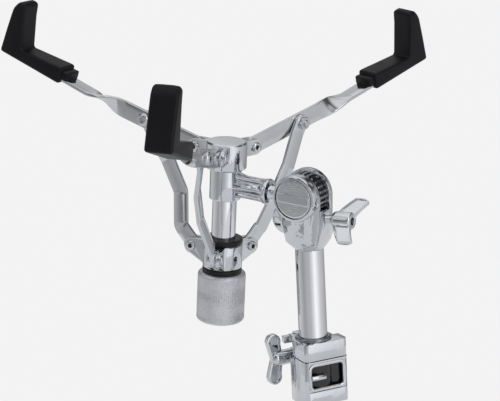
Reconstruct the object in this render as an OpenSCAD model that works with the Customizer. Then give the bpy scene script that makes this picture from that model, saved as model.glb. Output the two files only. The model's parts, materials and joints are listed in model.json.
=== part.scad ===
// Snare drum stand: tripod base, telescoping tube, tilter and three-arm basket.
// Millimetres, Z up. The origin is on the floor, on the axis of the two tubes.
// +X is the way from the basket to the tube. The basket is open, its nut at the
// lower end of the thread, the legs are spread and the memory lock sits on the
// height clamp. The widest gap between the arms faces the tilter.

/* [Tubes] */
// Height of the seam between the memory lock and the height clamp
clamp_seam_z = 416; // [396:1:560]
// Length of upper tube that shows between the memory lock and the tilter
upper_show = 72; // [50:1:200]
// Length of upper tube that hides in the base tube
upper_hidden = 210; // [190:1:230]
// Outer diameter of the upper tube
upper_tube_d = 22.2; // [20:0.1:23]
// Outer diameter of the base tube
base_tube_d = 28.6; // [28:0.1:31]
// Wall of the upper tube
upper_wall = 1.5; // [1.2:0.1:2]
// Wall of the base tube
base_wall = 1.6; // [1.2:0.1:2]

/* [Tripod] */
// Length of a leg from its hinge to the end of its channel
leg_len = 297; // [290:1:330]
// Angle of an open leg from the vertical
leg_angle = 48; // [44:0.5:52]
// Height between the leg hinges and the brace hinges
collar_spacing = 160; // [145:1:168]
// Radius from the tube axis to the leg and brace hinges
hinge_r = 30; // [29:0.5:34]
// Outer width of a leg channel
leg_w = 16; // [14:0.5:20]
// Sheet thickness of a leg channel
leg_wall = 1.5; // [1.2:0.1:2]
// Width of a brace strap
brace_w = 12; // [10:0.5:14]
// Thickness of a brace strap
brace_t = 2.5; // [2:0.1:3]
// Height of a rubber foot under the end of its leg
foot_under = 19; // [17:0.5:24]

/* [Height clamp] */
// Turn of the clamp about the tube, from +X
clamp_turn = -33; // [-45:1:-20]
// Height of the memory lock
lock_h = 14; // [12:0.5:18]
// Height of the block with the window
clamp_block_h = 36; // [34:0.5:44]
// Height of the round sleeve under the block
clamp_sleeve_h = 15; // [10:0.5:25]
// Height of the window
window_h = 23; // [18:0.5:26]
// Span of a wing, tip to tip
clamp_wing_span = 41; // [34:1:44]

/* [Tilter] */
// Height of the tilter axle over the top of the upper tube
neck_h = 43; // [42:0.5:50]
// Radius of the front boss
boss_r = 18; // [17:0.5:20]
// Depth of the front boss
boss_depth = 12.1; // [10:0.1:18]
// Gap between the front boss and the rear cheek
cheek_gap = 10.2; // [8:0.2:12]
// Thickness of the rear cheek
cheek_t = 5; // [4:0.5:7]
// Distance from the axle down to the wing bolt
bolt_drop = 17.6; // [17:0.2:18.4]
// Diameter of the wing bolt
bolt_d = 6.5; // [5:0.5:7]
// Diameter of the tilter axle
axle_d = 10; // [8:0.5:14]

/* [Basket] */
// Distance from the tilter axle to the basket post
post_reach = 69.4; // [66:0.2:90]
// Lean of the post towards the tilter
post_lean = 6; // [0:0.5:12]
// Height of the arm pivots over the axle, along the post
hub_rise = 23.1; // [22:0.1:30]
// Diameter of the post
post_d = 19; // [16:0.5:20]
// Radius of the hub
hub_r = 16; // [15:0.5:17]
// Radius from the post axis to the arm and link pivots
pivot_r = 26.5; // [26:0.5:32]
// Angle of an open arm over the horizontal
arm_angle = 14.7; // [8:0.1:20]
// Distance along an arm from its pivot to the link
link_at = 51; // [46:0.5:56]
// Drop from the arm pivots to the link pivots on the collar
collar_drop = 81.1; // [78:0.1:95]
// Height of an arm's bar, standing on edge
arm_w = 14.3; // [12:0.1:15]
// Thickness of an arm's bar
arm_t = 3; // [2.5:0.1:3.2]
// Width of a link strip
link_w = 12.7; // [10:0.1:13.5]
// Thickness of a link strip
link_t = 3; // [2.5:0.1:3.2]
// Radius of the pivot pins
pin_r = 2.5; // [2:0.1:3]
// Radius of the lower collar
collar_r = 15.5; // [14.5:0.5:17]
// Radius of the knurled nut
nut_r = 19; // [17:0.5:21]
// Height of the knurled nut
nut_h = 40.4; // [30:0.2:50]

/* [Grips] */
// Distance along an arm to the inner corner of its grip
grip_at = 173; // [165:1:200]
// Height of a grip's upright over its inner corner
grip_rise = 38; // [34:0.5:50]
// Width of a grip
grip_w = 20; // [18:0.5:26]
// Length of the lower leg of a grip
grip_leg = 42; // [34:1:46]

/* [Hidden] */
$fn = 64;

chrome = "silver";
casting = "gainsboro";
rubber = "#26262a";
satin = "darkgray";

// Clearances
running = 0.05;
side_gap = 0.15;
plate_gap = 0.4;
past = 1;

// Tubes
upper_bore_r = upper_tube_d / 2 - upper_wall;
base_bore_r = base_tube_d / 2 - base_wall;
tube_top_z = clamp_seam_z + lock_h + upper_show;
tilt_z = tube_top_z + neck_h;
bushing_h = clamp_block_h - 9;
base_top_z = clamp_seam_z - bushing_h;

// Tripod
leg_pivot_z = foot_under + leg_len * cos(leg_angle);
brace_pivot_z = leg_pivot_z - collar_spacing;
brace_len = collar_spacing / 2 / cos(leg_angle);
base_bottom_z = brace_pivot_z - 20;
web_in = 5.5;
web_out = web_in + leg_wall;
flange_edge = 5.5;
leg_lug_r = web_in - 0.3;
leg_lug_t = leg_w - 2 * leg_wall - 0.4;
strap_in = leg_w / 2 + 0.3;
strap_out = strap_in + brace_t;
brace_lug_t = leg_w + 0.2;
rivet_head_r = 4.5;
rivet_head_t = 1.6;
ring_r = hinge_r - 10;
ring_h = 26;
leg_bolt_r = 3.5;

// Height clamp, in its own turned frame with z = 0 at the seam
block_x = [-12, 17];
block_y = [-16.3, 21];
sleeve_r = base_tube_d / 2 + 2.7;
bushing_r = max(upper_tube_d / 2 + 1.7, base_bore_r + 0.1);
window_y = [-13.8, 19.2];
window_top = -2;
window_x = 12;
frame_border = 2.2;
ear_x = -21.5;
ear_z = -5;
ear_r = 6.5;
ear_y = 7.5;
slit = 2.4;
clamp_bolt_r = 3.5;
clamp_wing_y = -17.5;
clamp_wing_w = 12;

// Tilter, with y = 0 on the inner face of the rear cheek
arm_y = -cheek_gap / 2;
disc_gap = 0.3;
disc_t = cheek_gap - 2 * disc_gap;
disc_r = boss_r - 0.5;
disc_room = 0.6;
cheek_r = boss_r + 1.5;
room_floor = -11;
shoulder_z = -0.48 * neck_h;
lug_r = 11.6;
lug_out = cheek_r + 6;
boss_front = -cheek_gap - boss_depth;
cap_r = boss_r - 3.25;
cap_t = 2;
cap_room = 0.75;
neck_r = upper_tube_d / 2 + 0.2;
plug_h = 22;
bolt_tip = sqrt(disc_r ^ 2 - (bolt_drop - bolt_d / 2) ^ 2) + 0.35;
wing_turn = 53;
wing_x = 25;
wing_w = 16;
wing_hub_r = 6.8;
wing_reach = 21.7;
wing_flare = 10;

// Basket, in its own leaning frame with z = 0 at the arm pivots
arm_azimuth = [180, 72, -72];
hub_top = 7.7;
hub_bottom = -14;
post_top = 4;
sleeve_h = 24.5;
t_sleeve_r = post_d / 2 + 2.7;
slot_w = arm_t + 2 * side_gap;
ear_t = 3.25;
hub_ear_r = 6.3;
ear_face = slot_w / 2 + ear_t;
head_r = 4;
head_t = 1.8;
twist_from = 71;
twist_to = 105;
bar_rise = 3.7;
link_slot_w = link_t + 2 * side_gap;
link_ear_face = link_slot_w / 2 + ear_t;
collar_ear_r = 6.5;
collar_top = collar_ear_r + 0.1;
collar_h = 19.7;
ring_t = 4.4;
washer_t = 3.8;
nut_gap = 0.1;
nut_top = collar_top - collar_h - washer_t - nut_gap;
post_bottom = -collar_drop + nut_top - nut_h + 12;
screw_r = 3;
screw_head_r = 5.5;
link_bow_out = 19.5;
link_bow_rise = 39.1;
link_top_r = pivot_r + link_at * cos(arm_angle);
link_top_z = link_at * sin(arm_angle);
link_y = -(arm_t + link_t) / 2 - plate_gap;
link_out_y = -ear_face - head_t - 0.3 - link_t / 2;
grip_end = grip_at + 10.5;

// A 2D outline in (x, z) as a plate from y0 to y1
module plate(y0, y1) {
    translate([0, y1, 0])
        rotate([90, 0, 0])
            linear_extrude(y1 - y0)
                children();
}

// A 2D outline in (y, z) as a plate from x0 to x1
module side_plate(x0, x1) {
    translate([x0, 0, 0])
        rotate([90, 0, 90])
            linear_extrude(x1 - x0)
                children();
}

module pin_y(r, y0, y1) {
    translate([0, y1, 0])
        rotate([90, 0, 0])
            cylinder(r = r, h = y1 - y0);
}

module pin_x(r, x0, x1) {
    translate([x0, 0, 0])
        rotate([0, 90, 0])
            cylinder(r = r, h = x1 - x0);
}

// A turned ring with chamfered outer edges
module turned(r_in, r_out, z0, z1, c = 0.6) {
    rotate_extrude()
        polygon([
            [r_in, z0], [r_out - c, z0], [r_out, z0 + c],
            [r_out, z1 - c], [r_out - c, z1], [r_in, z1]
        ]);
}

function unit(v) = v / norm(v);

// A line with its inner corners rounded to a bend radius
function bent(points, radius, steps = 5) = [
    points[0],
    for (i = [1 : len(points) - 2])
        let (
            a = unit(points[i - 1] - points[i]),
            b = unit(points[i + 1] - points[i]),
            half = acos(a * b) / 2,
            centre = points[i] + unit(a + b) * radius / sin(half),
            from = atan2((points[i] + a * radius / tan(half) - centre).y, (points[i] + a * radius / tan(half) - centre).x),
            turn = cross(b, a) > 0 ? 180 - 2 * half : 2 * half - 180
        )
            for (k = [0 : steps])
                centre + radius * [cos(from + turn * k / steps), sin(from + turn * k / steps)],
    points[len(points) - 1]
];

// The same line moved sideways, mitred at its points
function beside(line, by) = [
    for (i = [0 : len(line) - 1])
        let (
            a = unit(line[max(i, 1)] - line[max(i, 1) - 1]),
            b = unit(line[min(i + 1, len(line) - 1)] - line[min(i, len(line) - 2)]),
            mid = unit(a + b)
        )
            line[i] + by / (mid * b) * [-mid.y, mid.x]
];

// The points of a half circle that turns from the left of a direction to its right
function cap(centre, d, r, from) = [
    for (t = [from + 15 : 15 : from + 165])
        centre + r * (cos(t) * [-d.y, d.x] + sin(t) * d)
];

// A strip of constant width along a bent line, with round or square ends
module strip(points, width, radius, round_ends = false) {
    line = bent(points, radius);
    last = len(line) - 1;
    back = beside(line, -width / 2);
    polygon(concat(
        beside(line, width / 2),
        round_ends ? cap(line[last], unit(line[last] - line[last - 1]), width / 2, 0) : [],
        [for (i = [last : -1 : 0]) back[i]],
        round_ends ? cap(line[0], unit(line[1] - line[0]), width / 2, 180) : []
    ));
}

// A low domed head that stands on y0 and faces out along side
module rivet_head(r, t, y0, side) {
    translate([0, y0, 0])
        rotate([-90 * side, 0, 0])
            rotate_extrude()
                polygon([[0, 0], [r, 0], [r, t * 0.4], [r * 0.82, t * 0.8], [r * 0.5, t], [0, t]]);
}

// Wing outline in (x, z): lobes up and down from a hub, from x = 0 to x = w
module wing_outline(up, down, w, lobe) {
    translate([w / 2 + lobe * 0.2, up - lobe])
        circle(r = lobe);
    translate([w / 2 + lobe * 0.2, lobe - down])
        circle(r = lobe);
    polygon([
        [0, -6], [w / 2 - lobe * 0.8, lobe - down], [w / 2 + lobe * 1.2, lobe - down],
        [w * 0.78, 0],
        [w / 2 + lobe * 1.2, up - lobe], [w / 2 - lobe * 0.8, up - lobe], [0, 6]
    ]);
}

// Frames of the pieces that turn with each other
module at_clamp() {
    translate([0, 0, clamp_seam_z])
        rotate(clamp_turn)
            children();
}

module at_tilter() {
    translate([0, 0, tilt_z])
        children();
}

module at_t_arm() {
    translate([0, arm_y, tilt_z])
        rotate([0, post_lean, 0])
            children();
}

module at_basket() {
    at_t_arm()
        translate([-post_reach, 0, hub_rise])
            children();
}

// Radial frame of one arm and link: x out from the post, z along it
module at_spoke(i) {
    at_basket()
        rotate(arm_azimuth[i])
            children();
}

// Frame of one arm: x along the bar from its pivot
module at_arm(i) {
    at_spoke(i)
        translate([pivot_r, 0, 0])
            rotate([0, -arm_angle, 0])
                children();
}

// Frame of one leg: x down the leg from its hinge, z on its outer side
module at_leg(i) {
    rotate(120 * i)
        translate([hinge_r, 0, leg_pivot_z])
            rotate([0, 90 - leg_angle, 0])
                children();
}

// Frame of one brace: x up the brace from its hinge
module at_brace(i) {
    rotate(120 * i)
        translate([hinge_r, 0, brace_pivot_z])
            rotate([0, leg_angle - 90, 0])
                children();
}

// Base tube and its collars
module base_tube() {
    color(chrome)
        translate([0, 0, base_bottom_z])
            difference() {
                cylinder(d = base_tube_d, h = base_top_z - base_bottom_z);
                translate([0, 0, -past])
                    cylinder(r = base_bore_r, h = base_top_z - base_bottom_z + 2 * past);
            }
}

module base_plug() {
    color(rubber)
        translate([0, 0, base_bottom_z]) {
            turned(0, base_tube_d / 2, -4, 0, 1.5);
            cylinder(r = base_bore_r - running, h = 14);
        }
}

// A collar ring with three hinge lugs of a given thickness and radius
module lug_collar(lug_t, lug_r) {
    difference() {
        union() {
            turned(0, ring_r, -ring_h / 2, ring_h / 2, 1.2);
            for (i = [0 : 2])
                rotate(120 * i)
                    plate(-lug_t / 2, lug_t / 2) {
                        translate([hinge_r, 0])
                            circle(r = lug_r);
                        translate([0, -lug_r])
                            square([hinge_r, 2 * lug_r]);
                    }
            children();
        }
        cylinder(r = base_tube_d / 2 + running, h = 2 * ring_h, center = true);
        for (i = [0 : 2])
            rotate(120 * i)
                translate([hinge_r, 0, 0])
                    pin_y(pin_r, -lug_t, lug_t);
    }
}

module brace_collar() {
    color(casting)
        translate([0, 0, brace_pivot_z])
            lug_collar(brace_lug_t, brace_w / 2);
}

// Three hinge pins with a head at each end
module lug_pins(face) {
    for (i = [0 : 2])
        rotate(120 * i)
            translate([hinge_r, 0, 0]) {
                pin_y(pin_r, -face, face);
                rivet_head(rivet_head_r, rivet_head_t, face + 0.1, 1);
                rivet_head(rivet_head_r, rivet_head_t, -face - 0.1, -1);
                pin_y(pin_r, -face - 0.2, face + 0.2);
            }
}

module brace_pins() {
    color(chrome)
        translate([0, 0, brace_pivot_z])
            lug_pins(strap_out);
}

module leg_collar() {
    color(casting)
        translate([0, 0, leg_pivot_z])
            difference() {
                lug_collar(leg_lug_t, leg_lug_r)
                    rotate(60)
                        pin_x(7.5, 0, ring_r + 5);
                rotate(60)
                    pin_x(leg_bolt_r + running, base_tube_d / 2 - past, ring_r + 5 + past);
            }
}

module leg_pins() {
    color(chrome)
        translate([0, 0, leg_pivot_z])
            lug_pins(leg_w / 2);
}

module leg_collar_bolt() {
    bolt_tip = base_tube_d / 2 + 0.3;
    wing_at = ring_r + 12;
    color(chrome)
        translate([0, 0, leg_pivot_z])
            rotate(60) {
                pin_x(leg_bolt_r, bolt_tip, wing_at + 10);
                pin_x(6, ring_r + 6, wing_at + 10);
                translate([wing_at, 0, 0])
                    plate(-2.5, 2.5)
                        wing_outline(20, 20, 12, 6);
            }
}

// Leg: a folded channel with its web on the outer side
module leg(i) {
    flange_in = leg_w / 2 - leg_wall;
    color(chrome)
        at_leg(i)
            difference() {
                plate(-leg_w / 2, leg_w / 2) {
                    circle(r = web_out);
                    translate([0, -flange_edge])
                        square([leg_len, flange_edge + web_out]);
                }
                plate(-flange_in, flange_in) {
                    translate([-web_out - past, -web_out - past])
                        square([leg_len + web_out + 2 * past, web_out + past + web_in]);
                    translate([-web_out - past, -web_out])
                        square([web_out + past, 2 * web_out + past]);
                }
                pin_y(pin_r + running, -leg_w, leg_w);
                translate([brace_len, 0, 0])
                    pin_y(pin_r, -leg_w, leg_w);
            }
}

// The rivet through a leg stops just short of the straps beside it
module leg_rivet(i) {
    color(chrome)
        at_leg(i)
            translate([brace_len, 0, 0])
                pin_y(pin_r, -leg_w / 2 - 0.15, leg_w / 2 + 0.15);
}

// Rubber shoe over the end of a leg, with its sole flat on the floor
module foot(i) {
    shoe_w = leg_w + 7;
    shoe_in = 34;
    sole_out = hinge_r + leg_len * sin(leg_angle) + 20;
    color(rubber)
        difference() {
            intersection() {
                at_leg(i)
                    translate([leg_len - shoe_in, 0, 0])
                        plate(-shoe_w / 2, shoe_w / 2)
                            offset(r = 4, $fn = 24)
                                translate([4, -flange_edge])
                                    square([shoe_in + 30, flange_edge + web_out]);
                rotate(120 * i)
                    translate([0, -shoe_w, 0])
                        cube([sole_out, 2 * shoe_w, leg_pivot_z]);
            }
            at_leg(i)
                translate([leg_len - shoe_in - past, -leg_w / 2, -flange_edge])
                    cube([shoe_in + past, leg_w, flange_edge + web_out]);
        }
}

module brace(i) {
    color(chrome)
        at_brace(i)
            for (side = [-1, 1])
                difference() {
                    plate(min(side * strap_in, side * strap_out), max(side * strap_in, side * strap_out)) {
                        for (x = [0, brace_len])
                            translate([x, 0])
                                circle(d = brace_w);
                        translate([0, -brace_w / 2])
                            square([brace_len, brace_w]);
                    }
                    pin_y(pin_r + running, -leg_w, leg_w);
                    translate([brace_len, 0, 0])
                        pin_y(pin_r, -leg_w, leg_w);
                }
}

// The outer ends of the same rivet, one in each strap
module brace_rivets(i) {
    color(chrome)
        at_brace(i)
            translate([brace_len, 0, 0]) {
                pin_y(pin_r, strap_in, strap_out + 0.1);
                rivet_head(rivet_head_r, rivet_head_t, strap_out, 1);
                pin_y(pin_r, -strap_out - 0.1, -strap_in);
                rivet_head(rivet_head_r, rivet_head_t, -strap_out, -1);
            }
}

// Height clamp
module block_outline() {
    offset(r = 4, $fn = 32)
        offset(delta = -4)
            translate([block_x[0], block_y[0]])
                square([block_x[1] - block_x[0], block_y[1] - block_y[0]]);
}

// Two ears in (x, z) on one side of the slit
module ear_pair(outline_y) {
    for (side = [-1, 1])
        plate(min(side * slit / 2, side * outline_y), max(side * slit / 2, side * outline_y))
            children();
}

module height_clamp() {
    color(casting)
        at_clamp()
            difference() {
                union() {
                    translate([0, 0, -clamp_block_h])
                        linear_extrude(clamp_block_h) {
                            block_outline();
                            circle(r = sleeve_r);
                        }
                    translate([0, 0, -clamp_block_h - clamp_sleeve_h])
                        turned(0, sleeve_r, 0, clamp_sleeve_h + past, 1);
                    ear_pair(ear_y) {
                        translate([ear_x, ear_z])
                            circle(r = ear_r);
                        translate([ear_x, ear_z - ear_r])
                            square([-ear_x - sleeve_r + 4, ear_r + 4.7]);
                    }
                }
                translate([0, 0, -clamp_block_h - clamp_sleeve_h - past])
                    cylinder(r = base_tube_d / 2 + running, h = clamp_block_h + clamp_sleeve_h + past - bushing_h);
                translate([0, 0, -bushing_h - past])
                    cylinder(r = bushing_r, h = bushing_h + 2 * past);
                translate([window_x, window_y[0], window_top - window_h])
                    cube([block_x[1], window_y[1] - window_y[0], window_h]);
                translate([-40, -slit / 2, -clamp_block_h - clamp_sleeve_h - past])
                    cube([40, slit, clamp_block_h + clamp_sleeve_h + 10]);
                translate([ear_x, 0, ear_z])
                    pin_y(clamp_bolt_r, -20, 20);
            }
}

module clamp_bushing() {
    color(rubber)
        at_clamp()
            translate([0, 0, -bushing_h])
                difference() {
                    cylinder(r = bushing_r, h = bushing_h);
                    translate([0, 0, -past])
                        cylinder(r = upper_tube_d / 2 + running, h = bushing_h + 2 * past);
                }
}

// Bright frame set into the window
module clamp_frame() {
    frame_w = window_y[1] - window_y[0];
    color(chrome)
        at_clamp()
            translate([0, window_y[0], window_top - window_h])
                side_plate(block_x[1] - 2.4, block_x[1] - 0.5)
                    difference() {
                        square([frame_w, window_h]);
                        translate([frame_border, frame_border])
                            square([frame_w - 2 * frame_border, window_h - 2 * frame_border]);
                    }
}

// Barrel nut across the left end of the window, in a knuckle on the frame
module clamp_barrel() {
    color(chrome)
        at_clamp()
            translate([block_x[1] - 0.4, window_y[0] + frame_border, window_top - window_h / 2])
                difference() {
                    pin_y(2.1, 0, 12);
                    pin_y(1, 8, 13);
                }
}

module clamp_bolt() {
    color(chrome)
        at_clamp()
            translate([ear_x, 0, ear_z]) {
                pin_y(clamp_bolt_r, clamp_wing_y - 4, ear_y);
                translate([0, ear_y, 0])
                    rotate([-90, 0, 0])
                        cylinder(r = 6.4, h = 4.5, $fn = 6);
            }
}

module clamp_wing() {
    color(chrome)
        at_clamp()
            translate([ear_x, 0, ear_z])
                difference() {
                    union() {
                        pin_y(6, clamp_wing_y - clamp_wing_w + 3, -ear_y - 0.1);
                        translate([0, clamp_wing_y, 0])
                            rotate(-90)
                                plate(-2.5, 2.5)
                                    wing_outline(clamp_wing_span / 2, clamp_wing_span / 2, clamp_wing_w, 6);
                    }
                    pin_y(clamp_bolt_r + running, clamp_wing_y - 4.1, 0);
                }
}

module upper_tube() {
    tube_len = upper_show + lock_h + upper_hidden;
    color(chrome)
        translate([0, 0, tube_top_z - tube_len])
            difference() {
                cylinder(d = upper_tube_d, h = tube_len);
                translate([0, 0, -past])
                    cylinder(r = upper_bore_r, h = tube_len + 2 * past);
            }
}

// Memory lock: a split band on the upper tube that lands on the clamp
module memory_lock() {
    ear_top = lock_h;
    ear_bottom = lock_h - 9;
    color(casting)
        at_clamp()
            difference() {
                union() {
                    linear_extrude(lock_h) {
                        intersection() {
                            block_outline();
                            translate([2, block_y[0] - past])
                                square([40, 60]);
                        }
                        circle(r = upper_tube_d / 2 + 5.4);
                    }
                    ear_pair(ear_y - 1.5)
                        translate([ear_x - 2, ear_bottom])
                            square([-ear_x - 8, ear_top - ear_bottom]);
                }
                translate([0, 0, -past])
                    cylinder(d = upper_tube_d, h = lock_h + 2 * past);
                translate([-40, -slit / 2, -past])
                    cube([40, slit, lock_h + 2 * past]);
                translate([ear_x + 0.5, 0, (ear_top + ear_bottom) / 2])
                    pin_y(2, -20, 20);
            }
}

// Key screw of the memory lock, with a square head
module lock_screw() {
    color(chrome)
        at_clamp()
            translate([ear_x + 0.5, 0, lock_h - 4.5]) {
                pin_y(2, -ear_y - 1, ear_y - 1.5);
                pin_y(3.6, -ear_y - 2, 1.5 - ear_y);
                translate([-2.6, -ear_y - 8, -2.6])
                    cube([5.2, 6.5, 5.2]);
            }
}

// Flared wing outline in (x, z): two blades that lean away along x from a hub
module flared_wing(reach, w, flare, tip_w) {
    polygon(bent([
        [1, 0.5], [1, 4], [flare, reach], [flare + tip_w, reach], [w, 4],
        [w, -4], [flare + tip_w, -reach], [flare, -reach], [1, -4], [1, -0.5]
    ], 3));
}

// Tilter: the rear casting has the cheek, the neck and the slab under the disc,
// and the front casting with the boss meets the face of that slab.
// This is one half of the neck: drawn in to the round of the tube, flats in front
module tilter_neck(y0, y1, top_w) {
    front = -cheek_gap - 5;
    side = -cheek_gap - 1.5;
    intersection() {
        plate(y0, y1)
            polygon([
                [-top_w, 0], [-top_w + 1, shoulder_z], [-neck_r, -neck_h],
                [neck_r, -neck_h], [top_w - 1, shoulder_z], [top_w, 0]
            ]);
        translate([0, 0, -neck_h])
            cylinder(r1 = neck_r, r2 = neck_r + 2 * neck_h, h = 2 * neck_h);
        translate([0, 0, -neck_h])
            linear_extrude(2 * neck_h)
                polygon([
                    [-cheek_r, cheek_r], [-cheek_r, side], [-6.5, front],
                    [6.5, front], [cheek_r, side], [cheek_r, cheek_r]
                ]);
    }
}

module tilter_room() {
    plate(-cheek_gap, 0) {
        circle(r = disc_r + disc_room);
        translate([-3 * cheek_r, room_floor])
            square(6 * cheek_r);
    }
}

module tilter_front() {
    back = cheek_gap;
    front = -boss_front;
    color(casting)
        at_tilter()
            difference() {
                union() {
                    rotate([90, 0, 0])
                        rotate_extrude()
                            polygon([
                                [0, back], [boss_r - 2, back], [boss_r, back + 3], [boss_r, front - 1.6],
                                [boss_r - 0.6, front - 0.4], [boss_r - 1.8, front], [0, front]
                            ]);
                    tilter_neck(-cheek_gap - 5, -cheek_gap, boss_r - 1);
                }
                pin_y(axle_d / 2 + running, boss_front - past, 0);
                pin_y(cap_r + cap_room, boss_front - past, boss_front + cap_t + disc_gap);
            }
}

module tilter_rear() {
    color(casting)
        at_tilter()
            difference() {
                union() {
                    tilter_neck(-cheek_gap, neck_r, cheek_r);
                    plate(-cheek_gap, cheek_t) {
                        circle(r = cheek_r);
                        translate([lug_r - lug_out, room_floor - 8])
                            circle(r = lug_r);
                    }
                    difference() {
                        translate([0, 0, -neck_h - plug_h])
                            cylinder(r = upper_bore_r, h = plug_h + past);
                        plate(-3 * cheek_r, -cheek_gap)
                            translate([-cheek_r, -neck_h])
                                square([2 * cheek_r, 2 * past]);
                    }
                }
                tilter_room();
                plate(cheek_t, 3 * cheek_r)
                    translate([-3 * cheek_r, shoulder_z])
                        square(6 * cheek_r);
                plate(-3 * cheek_r, 3 * cheek_r)
                    translate([-lug_out + 2, room_floor - 13.5])
                        square([5, 1.6]);
                pin_y(axle_d / 2 + running, -past, cheek_t + past);
                translate([0, arm_y, -bolt_drop])
                    pin_x(bolt_d / 2 + running, bolt_tip - past, 2 * cheek_r);
            }
}

// Wing bolt across the tilter: its tip bears on the rim of the disc
module tilter_wing_bolt() {
    color(chrome)
        at_tilter()
            translate([0, arm_y, -bolt_drop])
                rotate([-wing_turn, 0, 0]) {
                    pin_x(bolt_d / 2, bolt_tip, wing_x + 2);
                    difference() {
                        union() {
                            pin_x(wing_hub_r, wing_x, wing_x + wing_w);
                            translate([wing_x, 0, 0])
                                plate(-2, 2)
                                    flared_wing(wing_reach, wing_w, wing_flare, 12.5);
                        }
                        pin_x(3, wing_x + wing_w - 6, wing_x + wing_w + past);
                    }
                }
}

// T-arm: sleeve on the post, ribbed web, flange, neck and tilting disc
module t_arm() {
    bar_z = hub_rise + hub_bottom - sleeve_h / 2;
    flange_x = -cheek_r - 13;
    web_len = post_reach + flange_x + 1.5;
    color(casting)
        at_t_arm()
            difference() {
                union() {
                    translate([-post_reach, 0, bar_z])
                        turned(0, t_sleeve_r, -sleeve_h / 2, sleeve_h / 2, 0.8);
                    translate([-post_reach, -2.5, bar_z - 9])
                        cube([web_len, 5, 18]);
                    for (rib = [-9.5, -1.5, 6.5])
                        translate([-post_reach, -5.5, bar_z + rib])
                            cube([web_len, 11, 3]);
                    translate([flange_x, 0, bar_z])
                        pin_x(10, 0, 3.5);
                    translate([0, 0, bar_z]) {
                        pin_x(disc_t / 2 + 0.4, flange_x + 1, -cheek_r - 2.5);
                        pin_x(disc_t / 2 - 0.2, -cheek_r - 4, -disc_r + 3);
                    }
                    pin_y(disc_r, -disc_t / 2, disc_t / 2);
                }
                translate([-post_reach, 0, bar_z])
                    cylinder(d = post_d, h = 2 * sleeve_h, center = true);
                pin_y(axle_d / 2, -disc_t, disc_t);
            }
}

module tilter_axle() {
    front = boss_front + cap_t + disc_gap - arm_y;
    rear = cheek_t - arm_y;
    color(chrome)
        at_t_arm() {
            pin_y(axle_d / 2, front, rear + 0.2);
            rivet_head(8, 3, rear + 0.2, 1);
        }
}

// Cap of the axle in the front boss, with a bare raised band across it
module tilter_cap() {
    front = boss_front - arm_y;
    color(chrome)
        at_t_arm() {
            pin_y(cap_r, front, front + cap_t);
            plate(front - 1.2, front)
                intersection() {
                    circle(r = cap_r - 1);
                    square([2 * cap_r, 7], center = true);
                }
            pin_y(axle_d / 2, front + cap_t, front + cap_t + disc_gap);
        }
}

// Basket post, hub and collar
module basket_post() {
    color(chrome)
        at_basket()
            turned(0, post_d / 2, post_bottom, post_top, 0.8);
}

module spoke_pins(face) {
    for (a = arm_azimuth)
        rotate(a)
            translate([pivot_r, 0, 0]) {
                pin_y(pin_r, -face, face);
                rivet_head(head_r, head_t, face, 1);
                rivet_head(head_r, head_t, -face, -1);
            }
}

module hub() {
    color(satin)
        at_basket()
            difference() {
                union() {
                    turned(0, hub_r, hub_bottom, hub_top, 1.2);
                    for (a = arm_azimuth)
                        rotate(a)
                            plate(-ear_face, ear_face) {
                                translate([pivot_r, 0])
                                    circle(r = hub_ear_r);
                                translate([0, -hub_ear_r])
                                    square([pivot_r, 2 * hub_ear_r]);
                            }
                }
                translate([0, 0, hub_bottom - past])
                    cylinder(d = post_d, h = post_top - hub_bottom + past);
                for (a = arm_azimuth)
                    rotate(a) {
                        translate([pivot_r - arm_w / 2 - 0.6, -slot_w / 2, -arm_w])
                            cube([3 * arm_w, slot_w, 2 * arm_w]);
                        translate([pivot_r, 0, 0])
                            pin_y(pin_r, -ear_face - past, ear_face + past);
                    }
            }
}

module hub_pins() {
    color(chrome)
        at_basket()
            spoke_pins(ear_face);
}

// Collar ear in (x, z): flat top, lower edge slanting in to the body
module collar_ear() {
    translate([pivot_r, 0])
        circle(r = collar_ear_r);
    polygon([
        [0, collar_ear_r], [pivot_r, collar_ear_r],
        [pivot_r + collar_ear_r * 0.7, -collar_ear_r * 0.7],
        [collar_r - 1, -collar_ear_r - 6], [0, -collar_ear_r - 6]
    ]);
}

module lower_collar() {
    color(chrome)
        at_basket()
            translate([0, 0, -collar_drop])
                difference() {
                    union() {
                        turned(0, collar_r, collar_top - collar_h, collar_top, 0.8);
                        for (a = arm_azimuth)
                            rotate(a)
                                plate(-link_ear_face, link_ear_face)
                                    collar_ear();
                    }
                    cylinder(r = post_d / 2 + running, h = 3 * collar_h, center = true);
                    for (a = arm_azimuth)
                        rotate(a) {
                            translate([pivot_r - link_w / 2 - 0.6, -link_slot_w / 2, -collar_h])
                                cube([3 * link_w, link_slot_w, 2 * collar_h]);
                            translate([pivot_r, 0, 0])
                                pin_y(pin_r, -link_ear_face - past, link_ear_face + past);
                        }
                    rotate(-18)
                        translate([0, 0, collar_top - collar_h / 2])
                            pin_x(2, post_d / 2, collar_r + past);
                }
}

module collar_pins() {
    color(chrome)
        at_basket()
            translate([0, 0, -collar_drop])
                spoke_pins(link_ear_face);
}

module collar_ring() {
    color(rubber)
        at_basket()
            translate([0, 0, -collar_drop + collar_top])
                turned(post_d / 2 + running, collar_r, 0, ring_t, 0.8);
}

module collar_washer() {
    color(rubber)
        at_basket()
            translate([0, 0, -collar_drop + collar_top - collar_h - washer_t])
                turned(post_d / 2 + running, collar_r, 0, washer_t, 0.4);
}

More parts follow.
